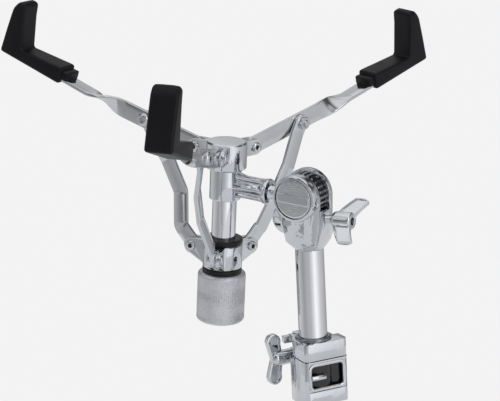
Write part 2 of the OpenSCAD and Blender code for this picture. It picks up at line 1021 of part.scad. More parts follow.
// Knurled nut with rounded rims and the thread's bore right through
module knurled_nut() {
    rim = 3;
    color(satin)
        at_basket()
            translate([0, 0, -collar_drop + nut_top - nut_h])
                rotate_extrude()
                    difference() {
                        union() {
                            translate([post_d / 2 + running, 0])
                                square([nut_r - rim - post_d / 2 - running, nut_h]);
                            translate([post_d / 2 + running, rim])
                                square([nut_r - post_d / 2 - running, nut_h - 2 * rim]);
                            for (z = [rim, nut_h - rim])
                                translate([nut_r - rim, z])
                                    circle(r = rim);
                        }
                        square([post_d / 2 + running, nut_h]);
                    }
}

// Arms, grips and links
// Flat end of an arm: it rises a little and turns up inside the grip
module arm_flat() {
    heel_z = (grip_end - twist_to) * tan(bar_rise);
    plate(-arm_w / 2, arm_w / 2)
        strip([
            [twist_to - 0.5, 0], [twist_to + 2, 0], [grip_end - arm_t / 2, heel_z],
            [grip_end - arm_t / 2, heel_z + grip_rise - 10]
        ], arm_t, 3);
}

module arm(i) {
    color(chrome)
        at_arm(i)
            difference() {
                union() {
                    plate(-arm_t / 2, arm_t / 2) {
                        circle(d = arm_w);
                        translate([0, -arm_w / 2])
                            square([twist_from, arm_w]);
                    }
                    translate([twist_from, 0, 0])
                        rotate([0, 90, 0])
                            linear_extrude(twist_to - twist_from, twist = 90, slices = 14, segments = 12)
                                square([arm_w, arm_t], center = true);
                    arm_flat();
                }
                pin_y(pin_r + running, -arm_t, arm_t);
                translate([link_at, 0, 0])
                    pin_y(screw_r, -arm_t, arm_t);
            }
}

// Rubber boot in an L: a lower leg under the hoop and an upright outside it
module grip(i) {
    lower_from = grip_at - grip_leg;
    outer = grip_end + 9.5;
    top = grip_rise + 10.5;
    color(rubber)
        at_arm(i)
            difference() {
                union() {
                    intersection() {
                        plate(-grip_w / 2, grip_w / 2)
                            offset(r = 2.5, $fn = 24)
                                offset(delta = -2.5)
                                    polygon([
                                        [lower_from, -2], [outer, 2], [outer - 3.5, top - 6.5],
                                        [outer - 9, top], [outer - 13, top - 2],
                                        [grip_at + 5, top - 11], [grip_at, 10.4], [lower_from, 11.8]
                                    ]);
                        side_plate(lower_from - past, outer + past)
                            offset(r = 3, $fn = 24)
                                offset(delta = -3)
                                    translate([-grip_w / 2, -3])
                                        square([grip_w, top + 3]);
                    }
                    translate([lower_from - 6, -grip_w / 2 + 1.5, 1.7])
                        cube([7, grip_w - 3, 7.5]);
                }
                arm_flat();
            }
}

// Link: a strip bent in both views, beside its arm and centred in its clevis
module link(i) {
    foot_z = -collar_drop;
    knee_z = foot_z + 13.2;
    color(chrome)
        at_spoke(i)
            difference() {
                intersection() {
                    plate(-20, 10)
                        strip([
                            [link_top_r, link_top_z], [pivot_r + link_bow_out, foot_z + link_bow_rise],
                            [pivot_r + 13, knee_z], [pivot_r, foot_z]
                        ], link_w, 12, round_ends = true);
                    side_plate(0, 2 * link_top_r)
                        strip([
                            [link_y, link_top_z + link_w], [link_y, link_top_z - 8],
                            [link_out_y, link_top_z - 32], [link_out_y, knee_z + 0.5],
                            [0, foot_z + collar_ear_r + 2.5], [0, foot_z - link_w]
                        ], link_t, 3);
                }
                translate([pivot_r, 0, foot_z])
                    pin_y(pin_r + running, -link_t, link_t);
                translate([link_top_r, 0, link_top_z])
                    pin_y(screw_r, -20, 0);
            }
}

// Screw through an arm, which stops just short of the link beside it
module link_screw(i) {
    head_t = 3.6;
    color(chrome)
        at_arm(i)
            translate([link_at, 0, 0])
                difference() {
                    union() {
                        pin_y(screw_r, -arm_t / 2 - plate_gap / 2, arm_t / 2 + 0.1);
                        rivet_head(screw_head_r, head_t, arm_t / 2, 1);
                    }
                    translate([0, arm_t / 2 + 1.4, 0])
                        rotate([-90, 30, 0])
                            cylinder(r = 2.6, h = head_t, $fn = 6);
                }
}

// Nut on the far face of a link, with the screw's end in it
module link_nut(i) {
    nut_t = 3.5;
    color(chrome)
        at_spoke(i)
            translate([link_top_r, link_y, link_top_z]) {
                pin_y(screw_r, -link_t / 2 - 0.1, link_t / 2);
                translate([0, -link_t / 2, 0])
                    rotate([90, 0, 0])
                        cylinder(r = 5.2, h = nut_t, $fn = 6);
                pin_y(screw_r - 0.4, -link_t / 2 - nut_t - 1.5, -link_t / 2);
            }
}

base_tube();
base_plug();
brace_collar();
brace_pins();
leg_collar();
leg_collar_bolt();
leg_pins();
leg(0);  // leg_1
leg(1);  // leg_2
leg(2);  // leg_3
leg_rivet(0);  // leg_rivet_1
leg_rivet(1);  // leg_rivet_2
leg_rivet(2);  // leg_rivet_3
foot(0);  // foot_1
foot(1);  // foot_2
foot(2);  // foot_3
brace(0);  // brace_1
brace(1);  // brace_2
brace(2);  // brace_3
brace_rivets(0);  // brace_rivets_1
brace_rivets(1);  // brace_rivets_2
brace_rivets(2);  // brace_rivets_3
height_clamp();
clamp_bushing();
clamp_frame();
clamp_barrel();
clamp_bolt();
clamp_wing();
upper_tube();
memory_lock();
lock_screw();
tilter_front();
tilter_rear();
tilter_wing_bolt();
t_arm();
tilter_axle();
tilter_cap();
basket_post();
hub();
hub_pins();
lower_collar();
collar_ring();
collar_washer();
knurled_nut();
collar_pins();
arm(0);  // arm_1
arm(1);  // arm_2
arm(2);  // arm_3
grip(0);  // grip_1
grip(1);  // grip_2
grip(2);  // grip_3
link(0);  // link_1
link(1);  // link_2
link(2);  // link_3
link_screw(0);  // link_screw_1
link_screw(1);  // link_screw_2
link_screw(2);  // link_screw_3
link_nut(0);  // link_nut_1
link_nut(1);  // link_nut_2
link_nut(2);  // link_nut_3
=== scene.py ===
import json
import math

import bmesh
import bpy
from mathutils import Matrix, Vector


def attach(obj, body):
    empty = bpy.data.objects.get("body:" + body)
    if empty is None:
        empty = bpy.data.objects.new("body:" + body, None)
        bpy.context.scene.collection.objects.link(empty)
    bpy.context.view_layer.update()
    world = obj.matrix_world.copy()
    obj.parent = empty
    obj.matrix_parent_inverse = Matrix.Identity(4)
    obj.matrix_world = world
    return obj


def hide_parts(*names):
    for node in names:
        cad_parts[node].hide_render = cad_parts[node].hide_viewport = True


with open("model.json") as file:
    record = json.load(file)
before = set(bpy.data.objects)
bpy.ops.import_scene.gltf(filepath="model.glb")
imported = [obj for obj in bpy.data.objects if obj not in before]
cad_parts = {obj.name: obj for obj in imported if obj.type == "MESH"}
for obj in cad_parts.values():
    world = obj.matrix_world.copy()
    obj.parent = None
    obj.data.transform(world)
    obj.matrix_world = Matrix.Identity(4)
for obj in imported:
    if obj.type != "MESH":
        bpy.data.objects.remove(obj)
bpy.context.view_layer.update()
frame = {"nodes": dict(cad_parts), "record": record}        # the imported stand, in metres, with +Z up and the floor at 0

mm = 0.001

# Where the pieces sit on the stand, in millimetres and degrees, as the model has them
stand = {
    "seamZ": 416, "clampTurn": -33, "tiltZ": 545, "armY": -5.1, "postReach": 69.4, "postLean": 6,
    "hubRise": 23.1, "pivotR": 26.5, "armAngle": 14.7, "collarDrop": 81.1, "spokeAngles": (180, 72, -72),
}


def moved(x, y, z):
    return Matrix.Translation((x, y, z))


def turnedBy(degrees, axis):
    return Matrix.Rotation(math.radians(degrees), 4, axis)


def newObject(name, data):
    obj = bpy.data.objects.new(name, data)
    bpy.context.scene.collection.objects.link(obj)
    return obj


# Frames of the pieces, still in millimetres: newPiece turns them into metres
atClamp = moved(0, 0, stand["seamZ"]) @ turnedBy(stand["clampTurn"], "Z")
atTilter = moved(0, 0, stand["tiltZ"])
atTArm = moved(0, stand["armY"], stand["tiltZ"]) @ turnedBy(stand["postLean"], "Y")
atBasket = atTArm @ moved(-stand["postReach"], 0, stand["hubRise"])
atCollar = atBasket @ moved(0, 0, -stand["collarDrop"])
atSpoke = [atBasket @ turnedBy(a, "Z") for a in stand["spokeAngles"]]
atArm = [s @ moved(stand["pivotR"], 0, 0) @ turnedBy(-stand["armAngle"], "Y") for s in atSpoke]


# Camera: a little above the basket and slightly rolled, as the photograph is
view = {
    "place": (0.66404, -1.19731, 0.86441),
    "right": (0.863469, 0.501969, -0.049479),
    "up": (-0.073929, 0.222980, 0.972016),
    "lens": 132.64,
}


def aimCamera():
    data = bpy.data.cameras.new("camera")
    data.lens = view["lens"]
    data.sensor_width = 36
    data.clip_end = 60
    camera = newObject("camera", data)
    right, up = Vector(view["right"]), Vector(view["up"])
    turn = Matrix((right, up, right.cross(up))).transposed()
    camera.matrix_world = Matrix.Translation(view["place"]) @ turn.to_4x4()
    bpy.context.scene.camera = camera


aimCamera()


# Shader maths
class Wire:    # one socket, so that sums on patterns read as sums
    def __init__(self, finish, socket):
        self.finish = finish
        self.socket = socket

    def maths(self, operation, *values):
        return self.finish.add("ShaderNodeMath", {"operation": operation}, dict(enumerate(values)))

    def __add__(self, other):
        return self.maths("ADD", self, other)

    def __sub__(self, other):
        return self.maths("SUBTRACT", self, other)

    def __rsub__(self, other):
        return self.maths("SUBTRACT", other, self)

    def __mul__(self, other):
        return self.maths("MULTIPLY", self, other)

    __radd__ = __add__
    __rmul__ = __mul__


class Finish:    # a material or the world, with its nodes
    def __init__(self, name, constants=None, world=False):
        self.data = (bpy.data.worlds if world else bpy.data.materials).new(name)
        self.data.use_nodes = True
        self.nodes = self.data.node_tree.nodes
        self.links = self.data.node_tree.links
        if world:
            self.nodes.clear()
        else:
            self.shader = self.nodes["Principled BSDF"]
            self.set(self.shader, constants or {})

    def set(self, node, values):
        for key, value in values.items():
            if isinstance(value, Wire):
                self.links.new(value.socket, node.inputs[key])
            elif hasattr(node.inputs[key], "default_value"):
                node.inputs[key].default_value = value

    def add(self, kind, settings=None, values=None, output=0):
        node = self.nodes.new(kind)
        for key, value in (settings or {}).items():
            if key == "stops":
                ramp = node.color_ramp
                while len(ramp.elements) < len(value):
                    ramp.elements.new(0.5)
                for element, (place, level) in zip(ramp.elements, value):
                    element.position = place
                    element.color = (level, level, level, 1)
            else:
                setattr(node, key, value)
        self.set(node, values or {})
        return Wire(self, node.outputs[output])

    def feed(self, **wires):
        self.set(self.shader, {key.replace("_", " "): wire for key, wire in wires.items()})

    def place(self, scale=(1, 1, 1)):
        coordinates = self.add("ShaderNodeTexCoord", output=3)
        return self.add("ShaderNodeMapping", {}, {"Vector": coordinates, "Scale": scale})

    def noise(self, scale, detail=3, stretch=(1, 1, 1), rough=0.55):
        return self.add("ShaderNodeTexNoise", {}, {
            "Vector": self.place(stretch), "Scale": scale, "Detail": detail, "Roughness": rough})

    def ramp(self, fac, *stops):
        return self.add("ShaderNodeValToRGB", {"stops": stops}, {"Fac": fac})

    def tint(self, fac, dark, light):
        tones = {0: fac, 6: (*dark, 1), 7: (*light, 1)}
        return self.add("ShaderNodeMix", {"data_type": "RGBA"}, tones, output=2)

    def bump(self, height, distance):
        return self.add("ShaderNodeBump", {}, {"Height": height, "Distance": distance, "Strength": 1.0})


# Plated finishes: how bright, how sharp, how wavy and how finely scratched each one is
plating = {
    "chromeTube": {"dark": (0.64, 0.655, 0.69), "light": (0.78, 0.795, 0.83), "rough": (0.04, 0.10),
                   "wave": 0.00002, "waveScale": 45, "lines": (60, 60, 1.5)},
    "chromeSheet": {"dark": (0.50, 0.515, 0.54), "light": (0.66, 0.675, 0.70), "rough": (0.08, 0.18),
                    "wave": 0.00003, "waveScale": 60, "lines": (14, 14, 14)},
    "chromeStrip": {"dark": (0.50, 0.52, 0.545), "light": (0.68, 0.70, 0.73), "rough": (0.06, 0.15),
                    "wave": 0.00004, "waveScale": 70, "lines": (20, 20, 20)},
    "chromeCasting": {"dark": (0.48, 0.50, 0.535), "light": (0.72, 0.74, 0.775), "rough": (0.03, 0.08),
                      "wave": 0.00022, "waveScale": 120, "lines": (30, 30, 30)},
    "chromeRivet": {"dark": (0.44, 0.455, 0.475), "light": (0.70, 0.715, 0.735), "rough": (0.08, 0.2),
                    "wave": 0.00004, "waveScale": 300, "lines": (90, 90, 90)},
    "chromeFastener": {"dark": (0.50, 0.52, 0.545), "light": (0.72, 0.74, 0.765), "rough": (0.04, 0.12),
                       "wave": 0.00012, "waveScale": 160, "lines": (50, 50, 50)},
    "chromeScrew": {"dark": (0.42, 0.435, 0.455), "light": (0.68, 0.695, 0.715), "rough": (0.1, 0.24),
                    "wave": 0.00003, "waveScale": 400, "lines": (120, 120, 120)},
    # a darkened copy of the chrome: painted shade on the toothed disc and the lock's lip
    "chromeTeeth": {"dark": (0.10, 0.105, 0.12), "light": (0.40, 0.41, 0.44), "rough": (0.08, 0.2),
                    "wave": 0.0001, "waveScale": 200, "lines": (60, 60, 60)},
}


def platedFinish(name):
    look = plating[name]
    finish = Finish(name, {"Metallic": 1.0, "IOR": 1.45})
    haze = finish.noise(35, 4)
    lines = finish.noise(40, 2, look["lines"])
    smear = finish.ramp(finish.noise(12, 5, rough=0.6), (0.42, 0), (0.68, 1))
    low, high = look["rough"]
    finish.feed(
        Base_Color=finish.tint(haze * 0.7 + lines * 0.3 - smear * 0.12, look["dark"], look["light"]),
        Roughness=low + (high - low) * (lines * 0.5 + smear * 0.5),
        Normal=finish.bump(finish.noise(look["waveScale"], 2), look["wave"]))
    return finish.data


# Bare metal: a fine grain, the coarser one for the knurl
satins = {
    "satinMetal": {"dark": (0.56, 0.575, 0.60), "light": (0.84, 0.86, 0.89),
                   "grain": 1500, "height": 0.00006},
    "knurledMetal": {"dark": (0.34, 0.35, 0.39), "light": (0.92, 0.93, 0.98),
                     "grain": 1000, "height": 0.0006},
}


def satinFinish(name):
    look = satins[name]
    finish = Finish(name, {"Metallic": 1.0})
    grain = finish.noise(look["grain"], 2)
    cloud = finish.noise(40, 4)
    finish.feed(
        Base_Color=finish.tint(grain * 0.5 + cloud * 0.5, look["dark"], look["light"]),
        Roughness=0.32 + 0.18 * grain,
        Normal=finish.bump(grain, look["height"]))
    return finish.data


# Rubber and plastic, with a little dust on them
rubbers = {
    "gripRubber": {"dark": (0.003, 0.003, 0.005), "light": (0.008, 0.008, 0.012), "rough": 0.40,
                   "grain": 900, "gloss": 0.2},
    "footRubber": {"dark": (0.008, 0.008, 0.009), "light": (0.024, 0.023, 0.023), "rough": 0.6,
                   "grain": 500, "gloss": 0.25},
    "blackGloss": {"dark": (0.004, 0.004, 0.005), "light": (0.010, 0.010, 0.012), "rough": 0.08,
                   "grain": 200, "gloss": 0.6},
    # black plastic parts, and also the sheets of painted shade set in grooves, gaps and hollows
    "blackPlastic": {"dark": (0.008, 0.008, 0.009), "light": (0.016, 0.016, 0.018), "rough": 0.34,
                     "grain": 700, "gloss": 0.25},
}


def rubberFinish(name):
    look = rubbers[name]
    finish = Finish(name, {"Specular IOR Level": look["gloss"]})
    grain = finish.noise(look["grain"], 3)
    dust = finish.ramp(finish.noise(28, 5, rough=0.62), (0.45, 0), (0.75, 1))
    finish.feed(
        Base_Color=finish.tint(dust * 0.7 + grain * 0.3, look["dark"], look["light"]),
        Roughness=look["rough"] + 0.15 * grain - 0.06 * dust,
        Normal=finish.bump(grain, 0.00008))
    return finish.data


finishes = {}
for looks, make in ((plating, platedFinish), (satins, satinFinish), (rubbers, rubberFinish)):
    for name in looks:
        finishes[name] = make(name)
print("finishes made:", len(finishes))


# Mesh helpers, all in millimetres
def meshFrom(bm, name):
    mesh = bpy.data.meshes.new(name)
    bm.to_mesh(mesh)
    bm.free()
    return mesh


def shellMesh(name, build):
    bm = bmesh.new()
    build(bm)
    bmesh.ops.remove_doubles(bm, verts=bm.verts, dist=0.001)
    bmesh.ops.recalc_face_normals(bm, faces=bm.faces)
    return meshFrom(bm, name)


def addRings(bm, rings, loop=False):    # a skin over equal rings, capped or joined into a loop
    made = [[bm.verts.new(p) for p in ring] for ring in rings]
    pairs = list(zip(made, made[1:])) + ([(made[-1], made[0])] if loop else [])
    for a, b in pairs:
        for k in range(len(a)):
            n = (k + 1) % len(a)
            bm.faces.new((a[k], a[n], b[n], b[k]))
    if not loop:
        bm.faces.new(list(reversed(made[0])))
        bm.faces.new(made[-1])


def addLathe(bm, profile, steps, place=None):    # profile of (radius, height) round the z axis
    place = place or Matrix.Identity(4)
    rings = []
    for k in range(steps):
        a = 2 * math.pi * k / steps
        rings.append([place @ Vector((r * math.cos(a), r * math.sin(a), z)) for r, z in profile])
    addRings(bm, rings, loop=True)


def diskProfile(radius, low, high):
    return [(0, low), (radius, low), (radius, high), (0, high)]


def roundedProfile(points, radius, steps=4):    # a closed profile with its corners rounded
    out = []
    for k, p in enumerate(points):
        a, b = Vector(points[k - 1]), Vector(points[(k + 1) % len(points)])
        p = Vector(p)
        ra, rb = a - p, b - p
        r = radius[k] if isinstance(radius, (list, tuple)) else radius
        cut = min(r, ra.length * 0.45, rb.length * 0.45)
        if cut < 1e-6:
            out.append(tuple(p))
            continue
        start, end = p + ra.normalized() * cut, p + rb.normalized() * cut
        for s in range(steps + 1):
            t = s / steps
            out.append(tuple(start * (1 - t) ** 2 + p * 2 * t * (1 - t) + end * t ** 2))
    return out


def insetOutline(outline, by):    # a closed outline, counted anticlockwise, moved inwards
    out = []
    for k, p in enumerate(outline):
        a, b = Vector(outline[k - 1]), Vector(outline[(k + 1) % len(outline)])
        p = Vector(p)
        n1 = Vector((-(p - a).y, (p - a).x)).normalized()
        n2 = Vector((-(b - p).y, (b - p).x)).normalized()
        n = (n1 + n2).normalized()
        out.append(p + n * by / max(n.dot(n1), 0.5))
    return out


def addRimmed(bm, outline, thick, web, rim):    # an (x, z) plate with a raised rim on both faces
    levels = [(rim + 0.35, web), (rim, thick), (0.5, thick), (0.15, thick - 0.15), (0, thick - 0.5)]
    levels = [(by, -y) for by, y in levels] + [(by, y) for by, y in reversed(levels)]
    addRings(bm, [[(p.x, y, p.y) for p in insetOutline(outline, by)] for by, y in levels])


def bakeDown(obj):    # keep what the modifiers make as a plain mesh
    depsgraph = bpy.context.evaluated_depsgraph_get()
    mesh = bpy.data.meshes.new_from_object(obj.evaluated_get(depsgraph))
    obj.modifiers.clear()
    obj.data = mesh


# How shading and edges are eased: angles in degrees; merge is in metres
easing = {"smooth": 35, "smoothEased": 40, "sharpFrom": 32, "flat": 0.6, "merge": 2e-6}


def finishMesh(obj, bevel, segments, smooth):
    mesh = obj.data
    mesh.polygons.foreach_set("use_smooth", [True] * len(mesh.polygons))
    if bevel:
        mod = obj.modifiers.new("edges", "BEVEL")
        mod.width = bevel * mm
        mod.segments = segments
        mod.limit_method = "ANGLE"
        mod.angle_limit = math.radians(easing["sharpFrom"])
        mod.use_clamp_overlap = True
        mod.harden_normals = True
    bakeDown(obj)
    sharpen(obj.data, smooth)


def sharpen(mesh, degrees):    # smooth shading that breaks at edges sharper than this
    bm = bmesh.new()
    bm.from_mesh(mesh)
    for face in bm.faces:
        face.smooth = True
    for edge in bm.edges:
        edge.smooth = len(edge.link_faces) != 2 or edge.calc_face_angle(0) < math.radians(degrees)
    bm.to_mesh(mesh)
    bm.free()


def newPiece(name, mesh, place, finish, body, replaces=(), smooth=easing["smooth"], bevel=0, segments=2):
    obj = newObject(name, mesh)
    mesh.transform(Matrix.Scale(mm, 4) @ place)
    finishMesh(obj, bevel, segments, smooth)
    obj.data.materials.clear()
    obj.data.materials.append(finishes[finish])
    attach(obj, body)
    if replaces:
        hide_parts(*replaces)


bodyOf = {node: body for body, nodes in frame["record"]["behaviour"]["bodies"].items() for node in nodes}


def softened(node, finish, width, segments=2):    # a copy of the model's own solid with its edges eased
    bm = bmesh.new()
    bm.from_mesh(frame["nodes"][node].data)
    bmesh.ops.remove_doubles(bm, verts=bm.verts, dist=easing["merge"])
    bmesh.ops.dissolve_limit(bm, angle_limit=math.radians(easing["flat"]), verts=bm.verts, edges=bm.edges)
    mesh = meshFrom(bm, node)
    first, *others = node.split("_")
    pieceName = first + "".join(word.capitalize() for word in others) + "Looks"
    newPiece(pieceName, mesh, Matrix.Scale(1 / mm, 4), finish, bodyOf[node], (node,), easing["smoothEased"],
             width, segments)


# Everything wears its own finish first; pieces below stand in for the nodes that need more shape
slotFinish = {
    "chrome_tube": "chromeTube", "chrome_sheet": "chromeSheet", "chrome_strip": "chromeStrip",
    "chrome_casting": "chromeCasting", "chrome_rivet": "chromeRivet", "chrome_fastener": "chromeFastener",
    "chrome_screw": "chromeScrew", "satin_metal": "satinMetal", "foot_rubber": "footRubber",
    "grip_rubber": "gripRubber", "black_plastic": "blackPlastic",
}
nodeFinish = {part["node"]: slotFinish[part["material_slot"]] for part in frame["record"]["subparts"]}
for node, obj in frame["nodes"].items():
    skin = finishes[nodeFinish[node]]
    if obj.material_slots:
        for place in obj.material_slots:
            place.material = skin
    else:
        obj.data.materials.append(skin)
print("model nodes dressed")


# Node trees that repeat a part or follow a rule
class Tree:
    def __init__(self, name, inputs):
        self.group = bpy.data.node_groups.new(name, "GeometryNodeTree")
        face = self.group.interface
        face.new_socket("Geometry", in_out="INPUT", socket_type="NodeSocketGeometry")
        self.keys = {}
        for label, kind in inputs.items():
            socket = face.new_socket(label, in_out="INPUT", socket_type="NodeSocket" + kind)
            self.keys[label] = socket.identifier
        face.new_socket("Geometry", in_out="OUTPUT", socket_type="NodeSocketGeometry")
        self.start = self.group.nodes.new("NodeGroupInput")
        self.end = self.group.nodes.new("NodeGroupOutput")

    def add(self, kind, settings=None, values=None):
        node = self.group.nodes.new(kind)
        for key, value in (settings or {}).items():
            setattr(node, key, value)
        for key, value in (values or {}).items():
            if isinstance(value, bpy.types.NodeSocket):
                self.group.links.new(value, node.inputs[key])
            else:
                node.inputs[key].default_value = value
        return node

    def sum(self, operation, *values):
        return self.add("ShaderNodeMath", {"operation": operation}, dict(enumerate(values))).outputs[0]

    def position(self):    # x, y and z of every point
        where = self.add("GeometryNodeInputPosition")
        return self.add("ShaderNodeSeparateXYZ", {}, {0: where.outputs[0]}).outputs

    def close(self, geometry, material):
        real = self.add("GeometryNodeRealizeInstances", {}, {"Geometry": geometry})
        skin = self.add("GeometryNodeSetMaterial", {}, {"Geometry": real.outputs[0], "Material": material})
        self.group.links.new(skin.outputs[0], self.end.inputs[0])

    def bake(self, obj, values):    # run the tree on an object and keep the plain mesh
        mod = obj.modifiers.new("rule", "NODES")
        mod.node_group = self.group
        for label, value in values.items():
            mod[self.keys[label]] = value
        bakeDown(obj)


def repeatTree():    # one part set on every point, turned by the point's own angles
    tree = Tree("repeatPart", {"Part": "Object", "Finish": "Material"})
    part = tree.add("GeometryNodeObjectInfo", {}, {"Object": tree.start.outputs["Part"]})
    turn = tree.add("GeometryNodeInputNamedAttribute", {"data_type": "FLOAT_VECTOR"}, {"Name": "turn"})
    angles = tree.add("FunctionNodeEulerToRotation", {}, {"Euler": turn.outputs[0]})
    points = tree.add("GeometryNodeMeshToPoints", {}, {"Mesh": tree.start.outputs["Geometry"]})
    copies = tree.add("GeometryNodeInstanceOnPoints", {}, {
        "Points": points.outputs[0], "Instance": part.outputs["Geometry"], "Rotation": angles.outputs[0]})
    tree.close(copies.outputs[0], tree.start.outputs["Finish"])
    return tree


partRepeater = repeatTree()


def repeated(name, partMesh, places, finish, body, replaces=()):
    # partMesh and the places are in millimetres
    partMesh.transform(Matrix.Scale(mm, 4))
    part = newObject(name + "Part", partMesh)
    spots = bpy.data.meshes.new(name)
    spots.from_pydata([m.to_translation() * mm for m in places], [], [])
    turn = spots.attributes.new("turn", "FLOAT_VECTOR", "POINT")
    for k, m in enumerate(places):
        turn.data[k].vector = m.to_euler()
    obj = newObject(name, spots)
    partRepeater.bake(obj, {"Part": part, "Finish": finishes[finish]})
    bpy.data.objects.remove(part)
    sharpen(obj.data, easing["smooth"])
    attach(obj, body)
    if replaces:
        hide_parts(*replaces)


# Tubes and turned parts: radii, heights of both ends and how far the outer edges are rounded
turnSteps = 128
hubSteps = 64
ringSizes = {
    "upperTube": {"inner": 9.6, "outer": 11.1, "low": 206, "high": 502, "edge": 0.5},
    "baseTube": {"inner": 12.7, "outer": 14.3, "low": 37.73, "high": 389, "edge": 0.5},
    "cushionRing": {"inner": 9.55, "outer": 15.5, "low": 6.6, "high": 11.0, "edge": 1.4, "steps": 5},
    "collarWasher": {"inner": 9.55, "outer": 15.5, "low": -16.9, "high": -13.1, "edge": 0.5},
    "clampBushing": {"inner": 11.15, "outer": 12.8, "low": -27, "high": 0, "edge": 0.3},
}
plug = {"rim": 14.3, "stem": 12.6, "low": 33.73, "shoulder": 37.73, "high": 51.7}
post = {"radius": 9.5, "low": -126.5, "high": 4, "edge": 0.8}


def ringProfile(inner, outer, low, high, edge, steps=3):
    return roundedProfile([(inner, low), (outer, low), (outer, high), (inner, high)],
                          [min(edge, 0.3), edge, edge, min(edge, 0.3)], steps)


def turnedPiece(name, profile, place, finish, body, replaces=()):
    mesh = shellMesh(name, lambda bm: addLathe(bm, profile, turnSteps))
    newPiece(name, mesh, place, finish, body, replaces)


def ringPiece(name, place, finish, body, node):
    turnedPiece(name, ringProfile(**ringSizes[name]), place, finish, body, (node,))


onAxis = moved(0, 0, 0)
ringPiece("upperTube", onAxis, "chromeTube", "upper", "upper_tube")
ringPiece("baseTube", onAxis, "chromeTube", "base", "base_tube")
turnedPiece("tubePlug", roundedProfile([(0, plug["low"]), (plug["rim"], plug["low"]),
                                        (plug["rim"], plug["shoulder"]), (plug["stem"], plug["shoulder"]),
                                        (plug["stem"], plug["high"]), (0, plug["high"])],
                                       [0, 1.6, 0.4, 0, 0.8, 0]),
            onAxis, "footRubber", "base", ("base_plug",))
turnedPiece("basketPost", roundedProfile(diskProfile(post["radius"], post["low"], post["high"]),
                                         [0, post["edge"], post["edge"], 0]),
            atBasket, "chromeTube", "tilt", ("basket_post",))
ringPiece("cushionRing", atCollar, "blackPlastic", "collar", "collar_ring")
ringPiece("collarWasher", atCollar, "blackPlastic", "collar", "collar_washer")
ringPiece("clampBushing", atClamp, "blackPlastic", "base", "clamp_bushing")
print("turned parts made")

# The knurled nut: a lathe form whose outer skin is pressed into diamonds
knurl = {"radius": 19, "height": 40.4, "rim": 3.0, "boreR": 9.55, "top": -17, "pitch": 1.5, "depth": 0.38,
         "rows": 90, "steps": 380, "smooth": 50,
         "skinFrom": 0.985}    # from this share of the radius on, a point belongs to the outer skin


def knurlTree():
    tree = Tree("knurlSkin", {"Pitch": "Float", "Depth": "Float", "Radius": "Float", "Low": "Float",
                              "High": "Float", "Finish": "Material"})
    given = tree.start.outputs
    place = tree.position()
    radius = tree.sum("SQRT", tree.sum("ADD", tree.sum("MULTIPLY", place[0], place[0]),
                                       tree.sum("MULTIPLY", place[1], place[1])))
    around = tree.sum("MULTIPLY", tree.sum("ARCTAN2", place[1], place[0]), given["Radius"])
    turns = tree.sum("DIVIDE", 2 * math.pi, given["Pitch"])
    left = tree.sum("COSINE", tree.sum("MULTIPLY", tree.sum("ADD", around, place[2]), turns))
    right = tree.sum("COSINE", tree.sum("MULTIPLY", tree.sum("SUBTRACT", around, place[2]), turns))
    ridge = tree.sum("MAXIMUM", tree.sum("ABSOLUTE", left), tree.sum("ABSOLUTE", right))
    onSkin = tree.sum("GREATER_THAN", radius, tree.sum("MULTIPLY", given["Radius"], knurl["skinFrom"]))
    band = tree.sum("MULTIPLY", tree.sum("GREATER_THAN", place[2], given["Low"]),
                    tree.sum("LESS_THAN", place[2], given["High"]))
    press = tree.sum("MULTIPLY", tree.sum("MULTIPLY", tree.sum("SUBTRACT", ridge, 1.0), given["Depth"]),
                     tree.sum("MULTIPLY", onSkin, band))
    push = tree.add("ShaderNodeVectorMath", {"operation": "SCALE"}, {
        0: tree.add("GeometryNodeInputNormal").outputs[0], "Scale": press})
    skin = tree.add("GeometryNodeSetPosition", {}, {"Geometry": given["Geometry"], "Offset": push.outputs[0]})
    tree.close(skin.outputs[0], given["Finish"])
    return tree


def knurledNut():
    r, h, rim, bore = knurl["radius"], knurl["height"], knurl["rim"], knurl["boreR"]
    quarter = [math.radians(d) for d in range(0, 91, 15)]
    profile = [(bore, 0.6), (bore + 0.6, 0)]
    profile += [(r - rim + rim * math.sin(a), rim - rim * math.cos(a)) for a in quarter]
    profile += [(r, rim + (h - 2 * rim) * k / knurl["rows"]) for k in range(1, knurl["rows"])]
    profile += [(r - rim + rim * math.cos(a), h - rim + rim * math.sin(a)) for a in quarter]
    profile += [(bore + 0.6, h), (bore, h - 0.6)]
    mesh = shellMesh("knurledNutLooks", lambda bm: addLathe(bm, profile, knurl["steps"]))
    obj = newObject("knurledNutLooks", mesh)
    knurlTree().bake(obj, {"Pitch": knurl["pitch"], "Depth": knurl["depth"], "Radius": float(r),
                           "Low": rim * 0.8, "High": h - rim * 0.8, "Finish": finishes["knurledMetal"]})
    obj.data.transform(Matrix.Scale(mm, 4) @ atCollar @ moved(0, 0, knurl["top"] - h))
    sharpen(obj.data, knurl["smooth"])
    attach(obj, "nut")
    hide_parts("knurled_nut")


knurledNut()
print("nut knurled")

# Arms: flat bar on edge at the hub, a quarter twist, then flat into the grip
arm = {"width": 14.3, "thick": 3.0, "corner": 0.7, "twistFrom": 69, "twistTo": 107, "end": 178, "rise": 3.7,
       "count": 240, "smooth": 40}


